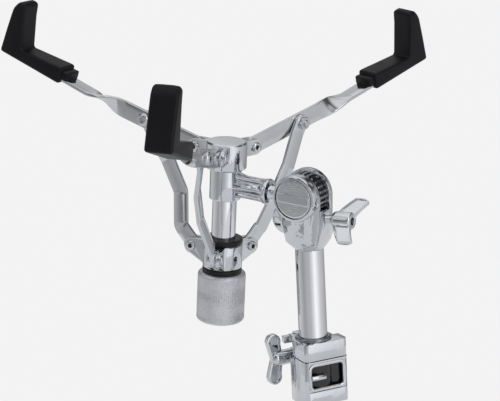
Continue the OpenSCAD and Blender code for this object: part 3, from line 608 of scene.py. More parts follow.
def armTree():
    tree = Tree("twistedBar", {
        "Width": "Float", "Thickness": "Float", "Corner": "Float", "Twist From": "Float", "Twist To": "Float",
        "Length": "Float", "Rise": "Float", "Finish": "Material"})
    given = tree.start.outputs
    half = tree.sum("DIVIDE", given["Width"], 2)
    line = tree.add("GeometryNodeCurvePrimitiveLine", {}, {
        "Start": tree.add("ShaderNodeCombineXYZ", {}, {0: tree.sum("MULTIPLY", half, -0.999)}).outputs[0],
        "End": tree.add("ShaderNodeCombineXYZ", {}, {0: given["Length"]}).outputs[0]})
    line = tree.add("GeometryNodeResampleCurve", {"mode": "COUNT"}, {
        "Curve": line.outputs[0], "Count": arm["count"]})
    here = tree.position()
    twist = tree.add("ShaderNodeMapRange", {"interpolation_type": "SMOOTHSTEP"}, {
        "Value": here[0], "From Min": given["Twist From"], "From Max": given["Twist To"], "To Min": 0.0,
        "To Max": -math.pi / 2})
    line = tree.add("GeometryNodeSetCurveTilt", {}, {"Curve": line.outputs[0], "Tilt": twist.outputs[0]})
    section = tree.add("GeometryNodeCurvePrimitiveQuadrilateral", {"mode": "RECTANGLE"}, {
        "Width": given["Thickness"], "Height": given["Width"]})
    section = tree.add("GeometryNodeFilletCurve", {"mode": "POLY"}, {
        "Curve": section.outputs[0], "Count": 3, "Radius": given["Corner"]})
    bar = tree.add("GeometryNodeCurveToMesh", {}, {
        "Curve": line.outputs[0], "Profile Curve": section.outputs[0], "Fill Caps": True})
    # the end at the hub is a half circle, and the flat end rises a little into the grip
    fromEnd = tree.sum("DIVIDE", tree.sum("MINIMUM", here[0], 0.0), half)
    inside = tree.sum("SUBTRACT", 1.0, tree.sum("MULTIPLY", fromEnd, fromEnd))
    narrow = tree.sum("SQRT", tree.sum("MAXIMUM", inside, 0.0))
    lift = tree.sum("MULTIPLY", tree.sum("MAXIMUM", tree.sum("SUBTRACT", here[0], given["Twist To"]), 0.0),
                    given["Rise"])
    z = tree.sum("ADD", tree.sum("MULTIPLY", here[2], narrow), lift)
    place = tree.add("ShaderNodeCombineXYZ", {}, {0: here[0], 1: here[1], 2: z})
    bar = tree.add("GeometryNodeSetPosition", {}, {"Geometry": bar.outputs[0], "Position": place.outputs[0]})
    tree.close(bar.outputs[0], given["Finish"])
    return tree


barTwister = armTree()


def twistedArm(i):
    name = "armBar%d" % (i + 1)
    obj = newObject(name, bpy.data.meshes.new(name))
    barTwister.bake(obj, {
        "Width": arm["width"], "Thickness": arm["thick"], "Corner": arm["corner"],
        "Twist From": float(arm["twistFrom"]), "Twist To": float(arm["twistTo"]), "Length": float(arm["end"]),
        "Rise": math.tan(math.radians(arm["rise"])), "Finish": finishes["chromeSheet"]})
    obj.data.transform(Matrix.Scale(mm, 4) @ atArm[i])
    sharpen(obj.data, arm["smooth"])
    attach(obj, "arm_%d_body" % (i + 1))
    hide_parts("arm_%d" % (i + 1))


for i in range(3):
    twistedArm(i)
print("arms twisted")

# Grips: an L of black rubber pushed over the arm's end
grip = {"from": 131, "corner": 173, "outer": 193, "top": 48.5, "width": 20, "edge": 2.2, "topCorner": 5}


def gripMesh(bm):
    # corners as (along the arm, up)
    f, c, o, top, e = grip["from"], grip["corner"], grip["outer"], grip["top"], grip["edge"]
    corners = [(f, -2), (o - 6, 1.6), (o, 2), (o - 1.6, top - 26), (o - 3.5, top - 7), (o - 8.5, top),
               (o - 14.5, top - 1.5), (c + 4.6, top - 12), (c, 10.4), (f, 11.8)]
    outline = roundedProfile(corners, [3, 0, 4.2, 0, 7, 5, 5, 0, 2.4, 3], 5)
    half = grip["width"] / 2
    depths = [0, 0.25, 0.45]    # places across the grip, as shares of its half width
    edge = [(half - e + e * math.sin(math.radians(a))) / half for a in (0, 22, 45, 65, 80, 90)]
    rings = []
    for t in [-v for v in reversed(depths[1:] + edge)] + depths + edge:
        y = t * half
        past = max(abs(y) - (half - e), 0)
        inset = e - math.sqrt(max(e * e - past * past, 0))
        pastTop = max(abs(y) - (half - grip["topCorner"]), 0)
        roof = top - (grip["topCorner"] - math.sqrt(max(grip["topCorner"] ** 2 - pastTop ** 2, 0)))
        ring = [(p.x, y, min(p.y, roof)) for p in insetOutline(outline, inset)]
        rings.append(ring)
    addRings(bm, rings)
    # the stub of its mouth, which lies on the bar
    mouth = roundedProfile([(f - 5.8, 1.9), (f + 3, 1.9), (f + 3, 9), (f - 5.8, 9)], 1.2, 3)
    sections = []
    for y, inset in ((-8.3, 0.9), (-8.0, 0.3), (-7.3, 0), (7.3, 0), (8.0, 0.3), (8.3, 0.9)):
        sections.append([(p.x, y, p.y) for p in insetOutline(mouth, inset)])
    addRings(bm, sections)


for i in range(3):
    newPiece("gripBoot%d" % (i + 1), shellMesh("gripBoot", gripMesh), atArm[i], "gripRubber",
             "arm_%d_body" % (i + 1), ("grip_%d" % (i + 1),), smooth=45)
print("grips moulded")

# Links: a strip bent in both views, beside its arm at the top and centred in its clevis at the foot
link = {
    "width": 12.7, "thick": 3.0, "corner": 0.6, "bend": 5, "joggle": 4, "bendSteps": 6, "sample": 1.2,
    "topR": 75.83, "topZ": 12.94, "y": -3.4, "outY": -8.5,
    "bends": ((19.5, 39.1), (13, 13.2)),    # outwards and up from the lower pivot
    "outFrom": 8, "outTo": 32,    # how far under the upper pivot it steps outwards
    "inFrom": 37, "inTo": 11,    # how far over the lower pivot it comes in again
    "overrun": 13,    # how far the side line runs past both pivots
}


def filleted(points, radius):
    out = [Vector(points[0])]
    for a, p, b in zip(points, points[1:], points[2:]):
        a, p, b = Vector(a), Vector(p), Vector(b)
        u, v = (a - p).normalized(), (b - p).normalized()
        half = u.angle(v) / 2
        cut = min(radius / math.tan(half), (a - p).length * 0.49, (b - p).length * 0.49)
        for s in range(link["bendSteps"] + 1):
            t = s / link["bendSteps"]
            out.append((p + u * cut) * (1 - t) ** 2 + p * 2 * t * (1 - t) + (p + v * cut) * t ** 2)
    return out + [Vector(points[-1])]


def sampled(line, step):
    out = []
    for a, b in zip(line, line[1:]):
        count = max(1, round((b - a).length / step))
        out += [a.lerp(b, k / count) for k in range(count)]
    return out + [line[-1]]


def alongLine(line, height):    # the y of a (y, z) line at a height
    for a, b in zip(line, line[1:]):
        if (a.y - height) * (b.y - height) <= 0 and a.y != b.y:
            return a.x + (b.x - a.x) * (height - a.y) / (b.y - a.y)
    return line[0].x if height > line[0].y else line[-1].x


def linkMesh(bm):
    pivot, foot, top = stand["pivotR"], -stand["collarDrop"], link["topZ"]
    half = link["width"] / 2
    bends = [(pivot + out, foot + up) for out, up in link["bends"]]
    path = filleted([(link["topR"], top)] + bends + [(pivot, foot)], link["bend"])
    side = filleted([(link["y"], top + link["overrun"]), (link["y"], top - link["outFrom"]),
                     (link["outY"], top - link["outTo"]), (link["outY"], foot + link["inFrom"]),
                     (0, foot + link["inTo"]), (0, foot - link["overrun"])], link["joggle"])
    start, end = (path[0] - path[1]).normalized(), (path[-1] - path[-2]).normalized()
    lead = [half * math.cos(math.radians(a)) for a in (3, 12, 22, 34, 48, 62, 76)]
    middle = sampled(path, link["sample"])
    points = [path[0] + start * d for d in lead] + middle + [path[-1] + end * d for d in reversed(lead)]
    past = lead + [0] * len(middle) + list(reversed(lead))
    spine = [Vector((p.x, alongLine(side, p.y), p.y)) for p in points]
    t, rings = link["thick"] / 2, []
    for k, p in enumerate(spine):
        tangent = (spine[min(k + 1, len(spine) - 1)] - spine[max(k - 1, 0)]).normalized()
        across = tangent.cross(Vector((0, 1, 0))).normalized()
        face = across.cross(tangent)
        w = math.sqrt(max(half * half - past[k] ** 2, 0.01))
        c = min(link["corner"], w * 0.6)
        cut = c * 0.3
        section = [(w - c, -t), (w - cut, -t + cut), (w, -t + c), (w, t - c), (w - cut, t - cut), (w - c, t)]
        section += [(-a, -b) for a, b in section]
        rings.append([p + across * a + face * b for a, b in section])
    addRings(bm, rings)


for i in range(3):
    newPiece("linkStrip%d" % (i + 1), shellMesh("linkStrip", linkMesh), atSpoke[i], "chromeStrip",
             "link_%d_body" % (i + 1), ("link_%d" % (i + 1),), smooth=28)
print("links bent")

# Rivets of the clevises: a shank through each, a hollow head on both faces
rivet = {"shank": 2.5, "head": 4.0, "height": 1.8, "hole": 1.8, "holeDepth": 1.5, "face": 4.9, "steps": 40,
         # the last three place the disc of painted shade in each head's hollow
         "grimeLow": 0.2, "grimeHigh": 0.7, "grimeSteps": 24}


def rivetHead(bm):    # a domed tubular head that stands on z = 0
    head, height, hole = rivet["head"], rivet["height"], rivet["hole"]
    lip, floor = hole + 0.35, height - rivet["holeDepth"]
    profile = [(0, floor), (hole * 0.8, floor), (hole, height - 0.25), (lip, height)]
    profile += [(lip + (head - lip) * math.sin(a), height * (0.25 + 0.75 * math.cos(a)))
                for a in [math.radians(d) for d in (20, 40, 60, 75, 90)]]
    profile += [(head - 0.1, 0), (0, 0)]
    addLathe(bm, profile, rivet["steps"])


def hollowShadeMesh(bm):    # painted shade: a black disc in the hollow of a head
    addLathe(bm, diskProfile(rivet["hole"], rivet["grimeLow"], rivet["grimeHigh"]), rivet["grimeSteps"])


def shankMesh(bm):
    addLathe(bm, diskProfile(rivet["shank"], -rivet["face"], rivet["face"]), rivet["steps"])


def clevisRivets(name, frames, body, node):    # the heads point away from the clevis
    pivots = [f @ moved(stand["pivotR"], 0, 0) for f in frames]
    faces = [p @ moved(0, side * rivet["face"], 0) @ turnedBy(-90 * side, "X")
             for p in pivots for side in (1, -1)]
    repeated(name + "Heads", shellMesh("rivetHead", rivetHead), faces, "chromeRivet", body)
    # black discs in the heads' hollows: painted shade
    repeated(name + "Hollows", shellMesh("rivetGrime", hollowShadeMesh), faces, "blackPlastic", body)
    repeated(name + "Shanks", shellMesh("rivetShank", shankMesh), [p @ turnedBy(90, "X") for p in pivots],
             "chromeRivet", body, (node,))


clevisRivets("hubRivet", atSpoke, "tilt", "hub_pins")
clevisRivets("collarRivet", [s @ moved(0, 0, -stand["collarDrop"]) for s in atSpoke], "collar", "collar_pins")

# The screw and nut where a link meets its arm
joint = {
    "at": 51, "armFace": 1.5, "nutFace": -4.9, "steps": 48, "threadSteps": 40,
    "head": {"radius": 5.4, "height": 3.5, "socket": 2.3, "depth": 2.4},
    "nut": {"across": 9.0, "height": 3.5, "bore": 2.6},
    "shank": {"radius": 3, "low": 0, "high": 3.2, "pitch": 0.8},
    "screwEnd": {"radius": 2.6, "low": -3, "high": 5, "pitch": 0.8},
}


def ringOf(radiusAt, z):    # a ring round the z axis, its radius given for every angle
    angles = [2 * math.pi * k / joint["steps"] for k in range(joint["steps"])]
    return [(radiusAt(a) * math.cos(a), radiusAt(a) * math.sin(a), z) for a in angles]


def offFlat(a):    # the angle to the middle of the nearest flat of a hexagon
    return (a % (math.pi / 3)) - math.pi / 6


def boltHead(radius, height, socket, depth):    # a button head with a six-sided socket
    flat, lip = socket * math.cos(math.pi / 6), socket + 0.5

    def build(bm):
        rings = [ringOf(lambda a: flat / math.cos(offFlat(a)), height - d) for d in (depth, 0.15)]
        outer = [(lip, height)]
        outer += [(lip + (radius - lip) * math.sin(a), height * (0.15 + 0.85 * math.cos(a)))
                  for a in [math.radians(d) for d in (25, 50, 70, 90)]]
        outer += [(radius - 0.15, 0)]
        rings += [ringOf(lambda a: r, z) for r, z in outer]
        addRings(bm, rings)
    return shellMesh("boltHead", build)


def flatNut(across, height, bore):    # a six-sided nut with its corners turned off
    flat, corner = across / 2, across / 2 / math.cos(math.pi / 6)

    def build(bm):
        rings = [ringOf(lambda a: min(flat / math.cos(offFlat(a)), corner - trim), z)
                 for z, trim in ((0, 0), (height - 0.5, 0), (height, 0.55))]
        rings += [ringOf(lambda a: r, z) for r, z in
                  ((bore + 0.5, height), (bore, height - 0.5), (bore, 0.6))]
        addRings(bm, rings, loop=True)
    return shellMesh("flatNut", build)


def threadMesh(radius, low, high, pitch):    # a fine ribbed shank along z
    profile = [(0, low)]
    z = low
    while z < high - pitch:
        profile += [(radius - pitch * 0.35, z), (radius, z + pitch * 0.5)]
        z += pitch
    profile += [(radius - pitch * 0.35, z), (radius - 0.4, high), (0, high)]
    return shellMesh("thread", lambda bm: addLathe(bm, profile, joint["threadSteps"]))


for i in range(3):
    armBody, linkBody = "arm_%d_body" % (i + 1), "link_%d_body" % (i + 1)
    screwAt = atArm[i] @ moved(joint["at"], 0, 0) @ moved(0, joint["armFace"], 0)
    newPiece("linkScrew%d" % (i + 1), boltHead(**joint["head"]), screwAt @ turnedBy(-90, "X"), "chromeScrew",
             armBody, ("link_screw_%d" % (i + 1),))
    newPiece("linkShank%d" % (i + 1), threadMesh(**joint["shank"]), screwAt @ turnedBy(90, "X"),
             "chromeScrew", armBody)
    nutAt = atSpoke[i] @ moved(link["topR"], joint["nutFace"], link["topZ"]) @ turnedBy(90, "X")
    newPiece("linkNut%d" % (i + 1), flatNut(**joint["nut"]), nutAt, "chromeScrew", linkBody,
             ("link_nut_%d" % (i + 1),))
    newPiece("screwEnd%d" % (i + 1), threadMesh(**joint["screwEnd"]), nutAt, "chromeScrew", linkBody)
print("rivets and screws set")

# T-arm: sleeve, ridged web, flange, neck, and the toothed disc between the tilter's cheeks
tArm = {
    "barZ": -3.15, "boreR": 9.55, "sleeveR": 12.2, "sleeveH": 24.5, "sleeveEdge": 0.9,
    "webFrom": -59.8, "webTo": -31.2, "webTop": 8.9, "webBottom": 8.6, "webHalf": 5.4,
    "webSteps": 96, "webRows": 24,
    "discR": 17.5, "discHalf": 4.8, "teeth": 26, "toothDepth": 2.2, "gapR": 16.2, "gapHalf": 4.5,
    # flange and neck: radius and place along the arm, then how far each corner is rounded
    "neck": ((0, -32.6), (10, -32.6), (10, -29.2), (6.6, -28.4), (5.4, -26.5), (5.2, -22.4), (4.6, -22),
             (4.6, -14.5), (0, -14.5)),
    "neckRounds": (0, 1.3, 1.2, 0.8, 1, 0.3, 0.2, 0, 0),
}


def webSection(plain, top, bottom, depth):    # three ridges on each side, y against z; none where plain is 1
    ring = []
    for k in range(tArm["webSteps"]):
        a = 2 * math.pi * (k + 0.5) / tArm["webSteps"]
        s = math.sin(a)
        reach = abs(math.cos(a)) ** 0.45 * math.copysign(1, math.cos(a))
        ridge = 0.42 + 0.58 * abs(math.cos(math.pi * s)) ** 1.3 * (1 - plain) + 0.58 * plain
        ring.append((reach * ridge * depth, s * (top if s > 0 else bottom)))
    return ring


def tArmMesh(bm):
    z0, start, end = tArm["barZ"], tArm["webFrom"], tArm["webTo"]
    rings = []
    for k in range(tArm["webRows"] + 1):
        f = k / tArm["webRows"]
        nearSleeve, nearFlange = max(1 - f * 2.6, 0) ** 2, max(f * 3.4 - 2.4, 0) ** 2
        top = tArm["webTop"] + 2.6 * nearSleeve + 0.9 * nearFlange
        bottom = tArm["webBottom"] + 1.6 * nearSleeve + 1.2 * nearFlange
        depth = tArm["webHalf"] + 2.2 * nearFlange + 1.2 * nearSleeve
        section = webSection(max(nearFlange, nearSleeve * 0.5) * 0.8, top, bottom, depth)
        rings.append([(start + (end - start) * f, y, z0 + z) for y, z in section])
    addRings(bm, rings)
    along = moved(0, 0, z0) @ turnedBy(90, "Y")
    addLathe(bm, roundedProfile(tArm["neck"], tArm["neckRounds"]), hubSteps, along)


def toothedDisc(bm):
    outer, root = tArm["discR"], tArm["discR"] - tArm["toothDepth"]
    outline = []
    for k in range(tArm["teeth"]):
        for part, r in ((0.0, root), (0.34, root), (0.46, outer), (0.86, outer)):
            a = -2 * math.pi * (k + part) / tArm["teeth"]
            outline.append((r * math.cos(a), r * math.sin(a)))
    outline.reverse()
    half = tArm["discHalf"]
    addRings(bm, [[(p.x, y, p.y) for p in insetOutline(outline, by)] for y, by in
                  ((-half, 0.3), (0.3 - half, 0), (half - 0.3, 0), (half, 0.3))])


newPiece("tArmLooks", shellMesh("tArm", tArmMesh), atTArm, "chromeCasting", "tilt", ("t_arm",), smooth=40)
turnedPiece("tArmSleeve", ringProfile(tArm["boreR"], tArm["sleeveR"], -tArm["sleeveH"] / 2,
                                      tArm["sleeveH"] / 2, tArm["sleeveEdge"]),
            atTArm @ moved(-stand["postReach"], 0, tArm["barZ"]), "chromeCasting", "tilt")
# the toothed disc wears the darkened chrome: painted shade
newPiece("tilterDisc", shellMesh("tilterDisc", toothedDisc), atTArm, "chromeTeeth", "tilt", smooth=30)
# a black ring inside the teeth, seen in the gaps between them: painted shade
turnedPiece("discGaps", diskProfile(tArm["gapR"], -tArm["gapHalf"], tArm["gapHalf"]),
            atTArm @ turnedBy(90, "X"), "blackPlastic", "tilt")

# Cap of the axle: turned face with a bare raised band across it
axleCap = {
    "radius": 14.75, "face": 17.2, "thick": 2, "pitch": 1.3, "groove": 0.04, "bandR": 13.75, "bandHalf": 3.5,
    # seam: the ring of painted shade in the groove round the cap
    "bandRise": 1.2, "seam": {"inner": 14.85, "outer": 15.45, "low": 15.9, "high": 16.4, "edge": 0.1},
}


def capMesh(bm):
    r, face, back = axleCap["radius"], axleCap["face"], axleCap["face"] - axleCap["thick"]
    step = axleCap["pitch"] / 4
    profile = [(0, back), (0, face)]
    profile += [(k * step, face - axleCap["groove"] * (1 - math.cos(k * math.pi / 2)))
                for k in range(1, int((r - 0.8) / step))]
    profile += [(r - 0.5, face - 0.05), (r - 0.12, face - 0.2), (r, face - 0.6), (r, back)]
    addLathe(bm, profile, turnSteps, turnedBy(90, "X"))


def bandMesh(bm):
    r, half, rise = axleCap["bandR"], axleCap["bandHalf"], axleCap["bandRise"]
    side = [(r * math.cos(a), r * math.sin(a)) for a in
            [math.asin(half / r) * (k / 2) for k in range(-2, 3)]]
    outline = side + [(-x, -z) for x, z in side]
    levels = ((0, -0.5), (0, rise - 0.3), (0.12, rise - 0.1), (0.35, rise), (0.9, rise), (1.0, rise - 0.4))
    addRings(bm, [[(p.x, -axleCap["face"] - y, p.y) for p in insetOutline(outline, by)] for by, y in levels])


newPiece("axleCap", shellMesh("axleCap", capMesh), atTArm, "chromeCasting", "tilt", ("tilter_cap",),
         smooth=60)
newPiece("capBand", shellMesh("capBand", bandMesh), atTArm, "chromeCasting", "tilt", smooth=30)
# a black ring in the groove between the cap and its bezel: painted shade
turnedPiece("capSeam", ringProfile(**axleCap["seam"]), atTilter @ turnedBy(90, "X"), "blackPlastic", "upper")

# Wing bolt of the tilter: threaded shank, hub with a hollow end, two flared blades with raised rims
wing = {
    "drop": 17.6, "turn": -53, "tip": 10.4, "shankR": 3.25, "pitch": 1.0, "from": 25, "width": 16,
    "hubR": 6.8, "hollowR": 2.75, "hollowDepth": 5, "grime": 1.2,
    "foot": 3.5, "reach": 21.7, "flare": 10, "tipWidth": 12.5, "rim": 1.3, "thick": 2.0, "web": 1.0,
}
wingHollowAt = wing["from"] + wing["width"] - wing["hollowDepth"]


def bladeOutline(side):
    w, reach, flare, foot = wing["width"], wing["reach"], wing["flare"], wing["foot"]
    far = flare + wing["tipWidth"]
    inner = [(1 + (flare - 1) * (k / 5) ** 1.4, foot + (reach - foot - 2) * k / 5) for k in range(6)]
    tip = [(flare + 1.0, reach - 0.6), (flare + 3.5, reach), (far - 3, reach - 0.3), (far - 0.6, reach - 1.6)]
    outer = [(w + (far - w) * (k / 5) ** 1.5, foot + (reach - foot - 3) * k / 5) for k in range(5, -1, -1)]
    outline = inner + tip + outer
    return list(reversed(outline)) if side > 0 else [(x, -z) for x, z in outline]


def wingMesh(bm):
    for side in (1, -1):
        outline = [(wing["from"] + x, z) for x, z in bladeOutline(side)]
        addRimmed(bm, outline, wing["thick"], wing["web"], wing["rim"])
    low, high = wing["from"], wing["from"] + wing["width"]
    r, bore = wing["hubR"], wing["hollowR"]
    hub = [(0, low), (r - 1.2, low), (r, low + 2.2), (r, high - 1), (r - 1, high), (bore + 0.25, high),
           (bore + 0.05, wingHollowAt), (0, wingHollowAt)]
    addLathe(bm, roundedProfile(hub, [0, 1.2, 1.5, 0.8, 0.8, 0.5, 0.4, 0]), hubSteps, turnedBy(90, "Y"))


atWing = atTilter @ moved(0, stand["armY"], -wing["drop"]) @ turnedBy(wing["turn"], "X")
newPiece("tilterWing", shellMesh("tilterWing", wingMesh), atWing, "chromeFastener", "tilter_bolt",
         ("tilter_wing_bolt",))
newPiece("tilterWingShank", threadMesh(wing["shankR"], wing["tip"], wing["from"] + 2, wing["pitch"]),
         atWing @ turnedBy(90, "Y"), "chromeScrew", "tilter_bolt")
# a black disc at the bottom of the hub's hollow end: painted shade
turnedPiece("wingHollow", diskProfile(wing["hollowR"], 0, wing["grime"]),
            atWing @ moved(wingHollowAt, 0, 0) @ turnedBy(90, "Y"), "blackPlastic", "tilter_bolt")
print("tilter made")

# Window of the height clamp: a bright frame with round corners, and the dark liner behind it
window = {"left": -13.8, "width": 33, "low": -25, "height": 23, "corner": 5.5, "cornerSteps": 8,
          "border": 2.9, "face": 16.7, "linerR": 14.75, "wall": 12.15}


def roundedFrame(inset, radius):
    x0, x1 = window["left"] + inset, window["left"] + window["width"] - inset
    z0, z1 = window["low"] + inset, window["low"] + window["height"] - inset
    middles = ((x1 - radius, z1 - radius), (x0 + radius, z1 - radius), (x0 + radius, z0 + radius),
               (x1 - radius, z0 + radius))
    out = []
    for quarter, (cx, cz) in enumerate(middles):
        for k in range(window["cornerSteps"] + 1):
            a = math.radians(90 * quarter + 90 * k / window["cornerSteps"])
            out.append((cx + radius * math.cos(a), cz + radius * math.sin(a)))
    return out


def frameMesh(bm):
    face, b = window["face"], window["border"]
    levels = ((0.05, -2), (0.05, -0.9), (0.35, -0.3), (b * 0.5, 0), (b - 0.35, -0.3), (b, -0.9), (b, -2))
    rings = []
    for d, lift in levels:
        rings.append([(face + lift, y, z) for y, z in roundedFrame(d, window["corner"] - d)])
    addRings(bm, rings, loop=True)


def cornerMesh(bm):    # the plate that fills the square corners of the window behind the frame
    inner = roundedFrame(0.4, window["corner"] - 0.4)
    outer = roundedFrame(0.02, 0.02)
    rings = [[(x, y, z) for y, z in line] for x, line in
             ((14.9, outer), (15.6, outer), (15.6, inner), (14.9, inner))]
    addRings(bm, rings, loop=True)


newPiece("windowFrame", shellMesh("windowFrame", frameMesh), atClamp, "chromeFastener", "base",
         ("clamp_frame",), smooth=45)
newPiece("windowCorners", shellMesh("windowCorners", cornerMesh), atClamp, "chromeCasting", "base", smooth=30)


def linerMesh(bm):    # round in the middle, flat to each end of the window
    r, wall = window["linerR"], window["wall"]
    arc = [math.radians(a) for a in range(-42, 43, 4)]
    left, right = window["left"] + 0.05, window["left"] + window["width"] - 0.05
    line = [(wall, left)] + [(max(wall, r * math.cos(a)), r * math.sin(a)) for a in arc] + [(wall, right)]
    line += [(x - 0.35, y) for x, y in reversed(line)]
    low, high = window["low"] + 0.1, window["low"] + window["height"] - 0.1
    addRings(bm, [[(x, y, z) for x, y in line] for z in (low, high)])


newPiece("windowLiner", shellMesh("windowLiner", linerMesh), atClamp, "blackGloss", "base", smooth=40)
print("clamp window dressed")

# Wing nut of the height clamp: two round lobes with raised rims
clampWing = {
    "place": (-21.5, -17.5, -5), "turn": -90, "lobeX": 7.2, "lobeZ": 14.5, "lobeR": 6, "waist": 9.4,
    "thick": 2.5, "web": 1.1, "rim": 1.4,
    "hubR": 6, "hubLow": -9.9, "hubHigh": 9, "boreR": 3.6, "boreHigh": 4.1,
}


def clampWingMesh(bm):
    def lobe(a0, side):
        return [(clampWing["lobeX"] + clampWing["lobeR"] * math.cos(math.radians(a)),
                 side * clampWing["lobeZ"] + clampWing["lobeR"] * math.sin(math.radians(a)))
                for a in range(a0, a0 + 221, 20)]
    nearHub = [(0.9, 7), (0.2, 4), (0.2, -4), (0.9, -7)]
    outline = [(clampWing["waist"], 0)] + lobe(-20, 1) + nearHub + lobe(160, -1)
    addRimmed(bm, outline, clampWing["thick"], clampWing["web"], clampWing["rim"])
    r, low, high = clampWing["hubR"], clampWing["hubLow"], clampWing["hubHigh"]
    bore, deep = clampWing["boreR"], clampWing["boreHigh"]
    hub = [(0, high), (r - 2.2, high), (r, high - 2.5), (r, low), (bore, low), (bore, deep), (0, deep)]
    addLathe(bm, roundedProfile(hub, [0, 1.2, 1.5, 0.6, 0.3, 0, 0]), hubSteps, turnedBy(90, "Y"))


newPiece("clampWing", shellMesh("clampWing", clampWingMesh),
         atClamp @ moved(*clampWing["place"]) @ turnedBy(clampWing["turn"], "Z"), "chromeFastener",
         "clamp_nut", ("clamp_wing",))


# Seam between the memory lock and the clamp: a dark line of painted shade in the groove, half of it on each
seam = {"corners": [(-12.05, -16.35), (17.05, -16.35), (17.05, 21.05), (-12.05, 21.05)], "round": 4.7,
        "roundSteps": 8, "depth": 0.9, "half": 0.4, "gap": 0.02}


def seamShadeMesh(bm, low, high):
    outline = roundedProfile(seam["corners"], seam["round"], seam["roundSteps"])
    addRings(bm, [[(p.x, p.y, z) for p in insetOutline(outline, by)] for by, z in
                  ((0, low), (0, high), (seam["depth"], high), (seam["depth"], low))], loop=True)


# black strips set in the V-groove between lock and clamp: painted shade
newPiece("clampSeam", shellMesh("clampSeam", lambda bm: seamShadeMesh(bm, -seam["half"], -seam["gap"])), atClamp,
         "blackPlastic", "base")
newPiece("lockSeam", shellMesh("lockSeam", lambda bm: seamShadeMesh(bm, seam["gap"], seam["half"])), atClamp,
         "blackPlastic", "upper")

# The lip of the memory lock round the tube: radius and height, then how far each corner is rounded
lockLip = {"line": ((11.12, 13.6), (14.4, 13.6), (14.0, 15.6), (12.4, 16.2), (11.12, 15.4)),
           "rounds": (0, 0.2, 0.8, 0.8, 0.2)}
# the lip wears the darkened chrome: painted shade
turnedPiece("lockLip", roundedProfile(lockLip["line"], lockLip["rounds"]), atClamp, "chromeTeeth", "upper")

# Castings and folded pieces keep the model's shape with their edges eased, by so many millimetres
eased = {
    "hub": 0.7, "lower_collar": 0.6, "tilter_front": 0.9, "tilter_rear": 0.9, "tilter_axle": 0.3,
    "height_clamp": 0.9, "memory_lock": 0.9, "lock_screw": 0.4, "clamp_barrel": 0.4, "clamp_bolt": 0.4,
    "leg_collar": 0.9, "leg_collar_bolt": 0.9, "brace_collar": 0.9,
}
tripod = {
    "leg": {"finish": "chromeSheet", "width": 0.45},
    "foot": {"finish": "footRubber", "width": 1.2, "segments": 3},
    "brace": {"finish": "chromeStrip", "width": 0.5},
}
hubTop = {"radius": 14.7, "low": 6.2, "high": 7.85, "rounds": (0, 0.2, 0.5, 0)}

for node, width in eased.items():
    softened(node, "chromeCasting" if node == "hub" else nodeFinish[node], width)
turnedPiece("hubTop", roundedProfile(diskProfile(hubTop["radius"], hubTop["low"], hubTop["high"]),
                                     hubTop["rounds"]), atBasket, "satinMetal", "tilt")
for i in (1, 2, 3):
    for name, edges in tripod.items():
        softened("%s_%d" % (name, i), **edges)
print("castings eased")


# Studio: a plain pale floor and a soft pale room with one bright side
studio = {
    "pale": 0.896, "floor": 0.8, "floorSize": 1.35, "fadeFrom": 0.3, "fadeStart": 0.85, "floorGlow": 0.78,
    # brightness of the walls by azimuth, as a share of the peak
    "walls": ((-180, 0.58), (-155, 0.48), (-121, 0.32), (-95, 0.42), (-70, 0.46), (-48, 0.70), (-30, 1.0),
              (-12, 0.86), (8, 0.62), (30, 0.52), (55, 0.44), (85, 0.32), (112, 0.20), (130, 0.34),
              (150, 0.16), (164, 0.4), (180, 0.58)),
    "wallPeak": 1.3,
    # by elevation: how much of the wall's brightness is left, and how much of the ceiling's there is
    "wallShade": ((-90, 0.9), (-22, 1), (10, 1), (17, 0.6), (25, 0.2), (40, 0.14), (54, 0.4), (90, 0)),
    "ceiling": ((44, 0), (58, 0.75), (72, 1), (90, 0.8)), "ceilingLevel": 1.0,
    # darker and lighter cards: azimuth, elevation, size, softness, change
    "cards": ((-118, 6, 8, 3, -0.22), (62, 4, 7, 3, -0.25), (8, 30, 9, 4, 0.5), (-150, 34, 10, 4, 0.45),
              (125, 34, 20, 7, 0.6), (-75, 33, 9, 3, 0.5), (-35, 42, 5, 2, 0.4), (62, 34, 8, 3, 0.4)),
    "lamps": {
        "keyLamp": {"place": (2.4, -1.0, 2.0), "size": 1.6, "power": 14},
        "fillLamp": {"place": (-1.6, -2.0, 2.2), "size": 1.6, "power": 6},
    },
    "lampTarget": (0, 0, 0.5),
}


def paleFloor():
    bm = bmesh.new()
    bmesh.ops.create_circle(bm, cap_ends=True, segments=96, radius=studio["floorSize"])
    mesh = meshFrom(bm, "floor")
    floor = newObject("floor", mesh)
    finish = Finish("paleFloor", {"Base Color": (studio["floor"],) * 3 + (1,), "Roughness": 0.9,
                                  "Specular IOR Level": 0.0})
    path = finish.add("ShaderNodeLightPath")
    glossy = Wire(finish, path.socket.node.outputs["Is Glossy Ray"])
    seen = path.maths("MAXIMUM", path, glossy * studio["floorGlow"])
    fromMiddle = finish.add("ShaderNodeVectorMath", {"operation": "LENGTH"}, {0: finish.place()}, output=1)
    rim = finish.add("ShaderNodeMapRange", {"interpolation_type": "SMOOTHSTEP"}, {
        "Value": fromMiddle, "From Min": studio["fadeFrom"], "From Max": studio["floorSize"] * 0.9,
        "To Min": studio["fadeStart"], "To Max": 1.0})
    glow = finish.add("ShaderNodeEmission", {}, {"Color": (studio["pale"],) * 3 + (1,), "Strength": 1.0})
    mixed = finish.add("ShaderNodeMixShader", {}, {
        0: seen * rim, 1: Wire(finish, finish.shader.outputs[0]), 2: glow})
    finish.links.new(mixed.socket, finish.nodes["Material Output"].inputs["Surface"])
    mesh.materials.append(finish.data)


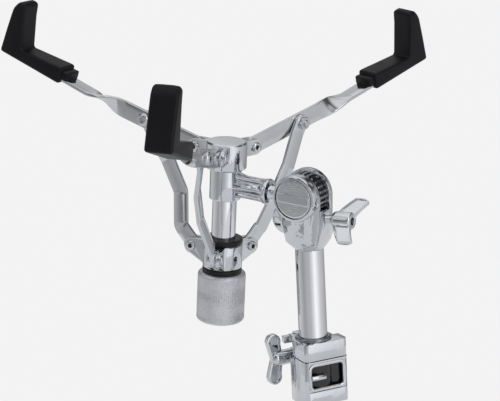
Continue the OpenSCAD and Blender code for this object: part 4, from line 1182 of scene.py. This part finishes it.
def paleRoom():
    room = Finish("paleRoom", world=True)
    path = room.add("ShaderNodeLightPath")
    isCamera = Wire(room, path.socket.node.outputs["Is Camera Ray"])
    way = room.add("ShaderNodeTexCoord")
    parts = room.add("ShaderNodeSeparateXYZ", {}, {0: way})
    outputs = parts.socket.node.outputs
    x, y, z = (Wire(room, outputs[k]) for k in range(3))

    def patch(azimuth, height, size, soft):    # 1 inside a round patch of the room, 0 outside
        a, e = math.radians(azimuth), math.radians(height)
        toward = x * (math.cos(e) * math.cos(a)) + y * (math.cos(e) * math.sin(a)) + z * math.sin(e)
        return room.add("ShaderNodeMapRange", {"interpolation_type": "SMOOTHSTEP"}, {
            "Value": toward, "From Min": math.cos(math.radians(size + soft)),
            "From Max": math.cos(math.radians(max(size - soft, 0)))})

    def byHeight(stops):    # a ramp from straight down to straight up
        upward = z * 0.5 + 0.5
        return room.ramp(upward, *[((math.sin(math.radians(e)) + 1) / 2, share) for e, share in stops])

    turn = y.maths("ARCTAN2", y, x) * (0.5 / math.pi) + 0.5
    around = room.ramp(turn, *[((a + 180) / 360, share) for a, share in studio["walls"]]) * studio["wallPeak"]
    level = around * byHeight(studio["wallShade"]) + byHeight(studio["ceiling"]) * studio["ceilingLevel"]
    for azimuth, height, size, soft, change in studio["cards"]:
        level = level + patch(azimuth, height, size, soft) * change
    shown = level * (1 - isCamera) + isCamera * studio["pale"]
    glow = room.add("ShaderNodeBackground", {}, {"Color": shown, "Strength": 1.0})
    out = room.nodes.new("ShaderNodeOutputWorld")
    room.links.new(glow.socket, out.inputs["Surface"])
    bpy.context.scene.world = room.data


def softLamp(name, place, size, power):
    data = bpy.data.lights.new(name, "AREA")
    data.shape = "SQUARE"
    data.size = size
    data.energy = power
    lamp = newObject(name, data)
    lamp.location = place
    lamp.rotation_mode = "QUATERNION"
    lamp.rotation_quaternion = (Vector(studio["lampTarget"]) - Vector(place)).to_track_quat("-Z", "Y")
    lamp.visible_camera = False


paleFloor()
paleRoom()
for name, lamp in studio["lamps"].items():
    softLamp(name, **lamp)
bpy.context.scene.view_settings.view_transform = "Standard"
print("studio lit")
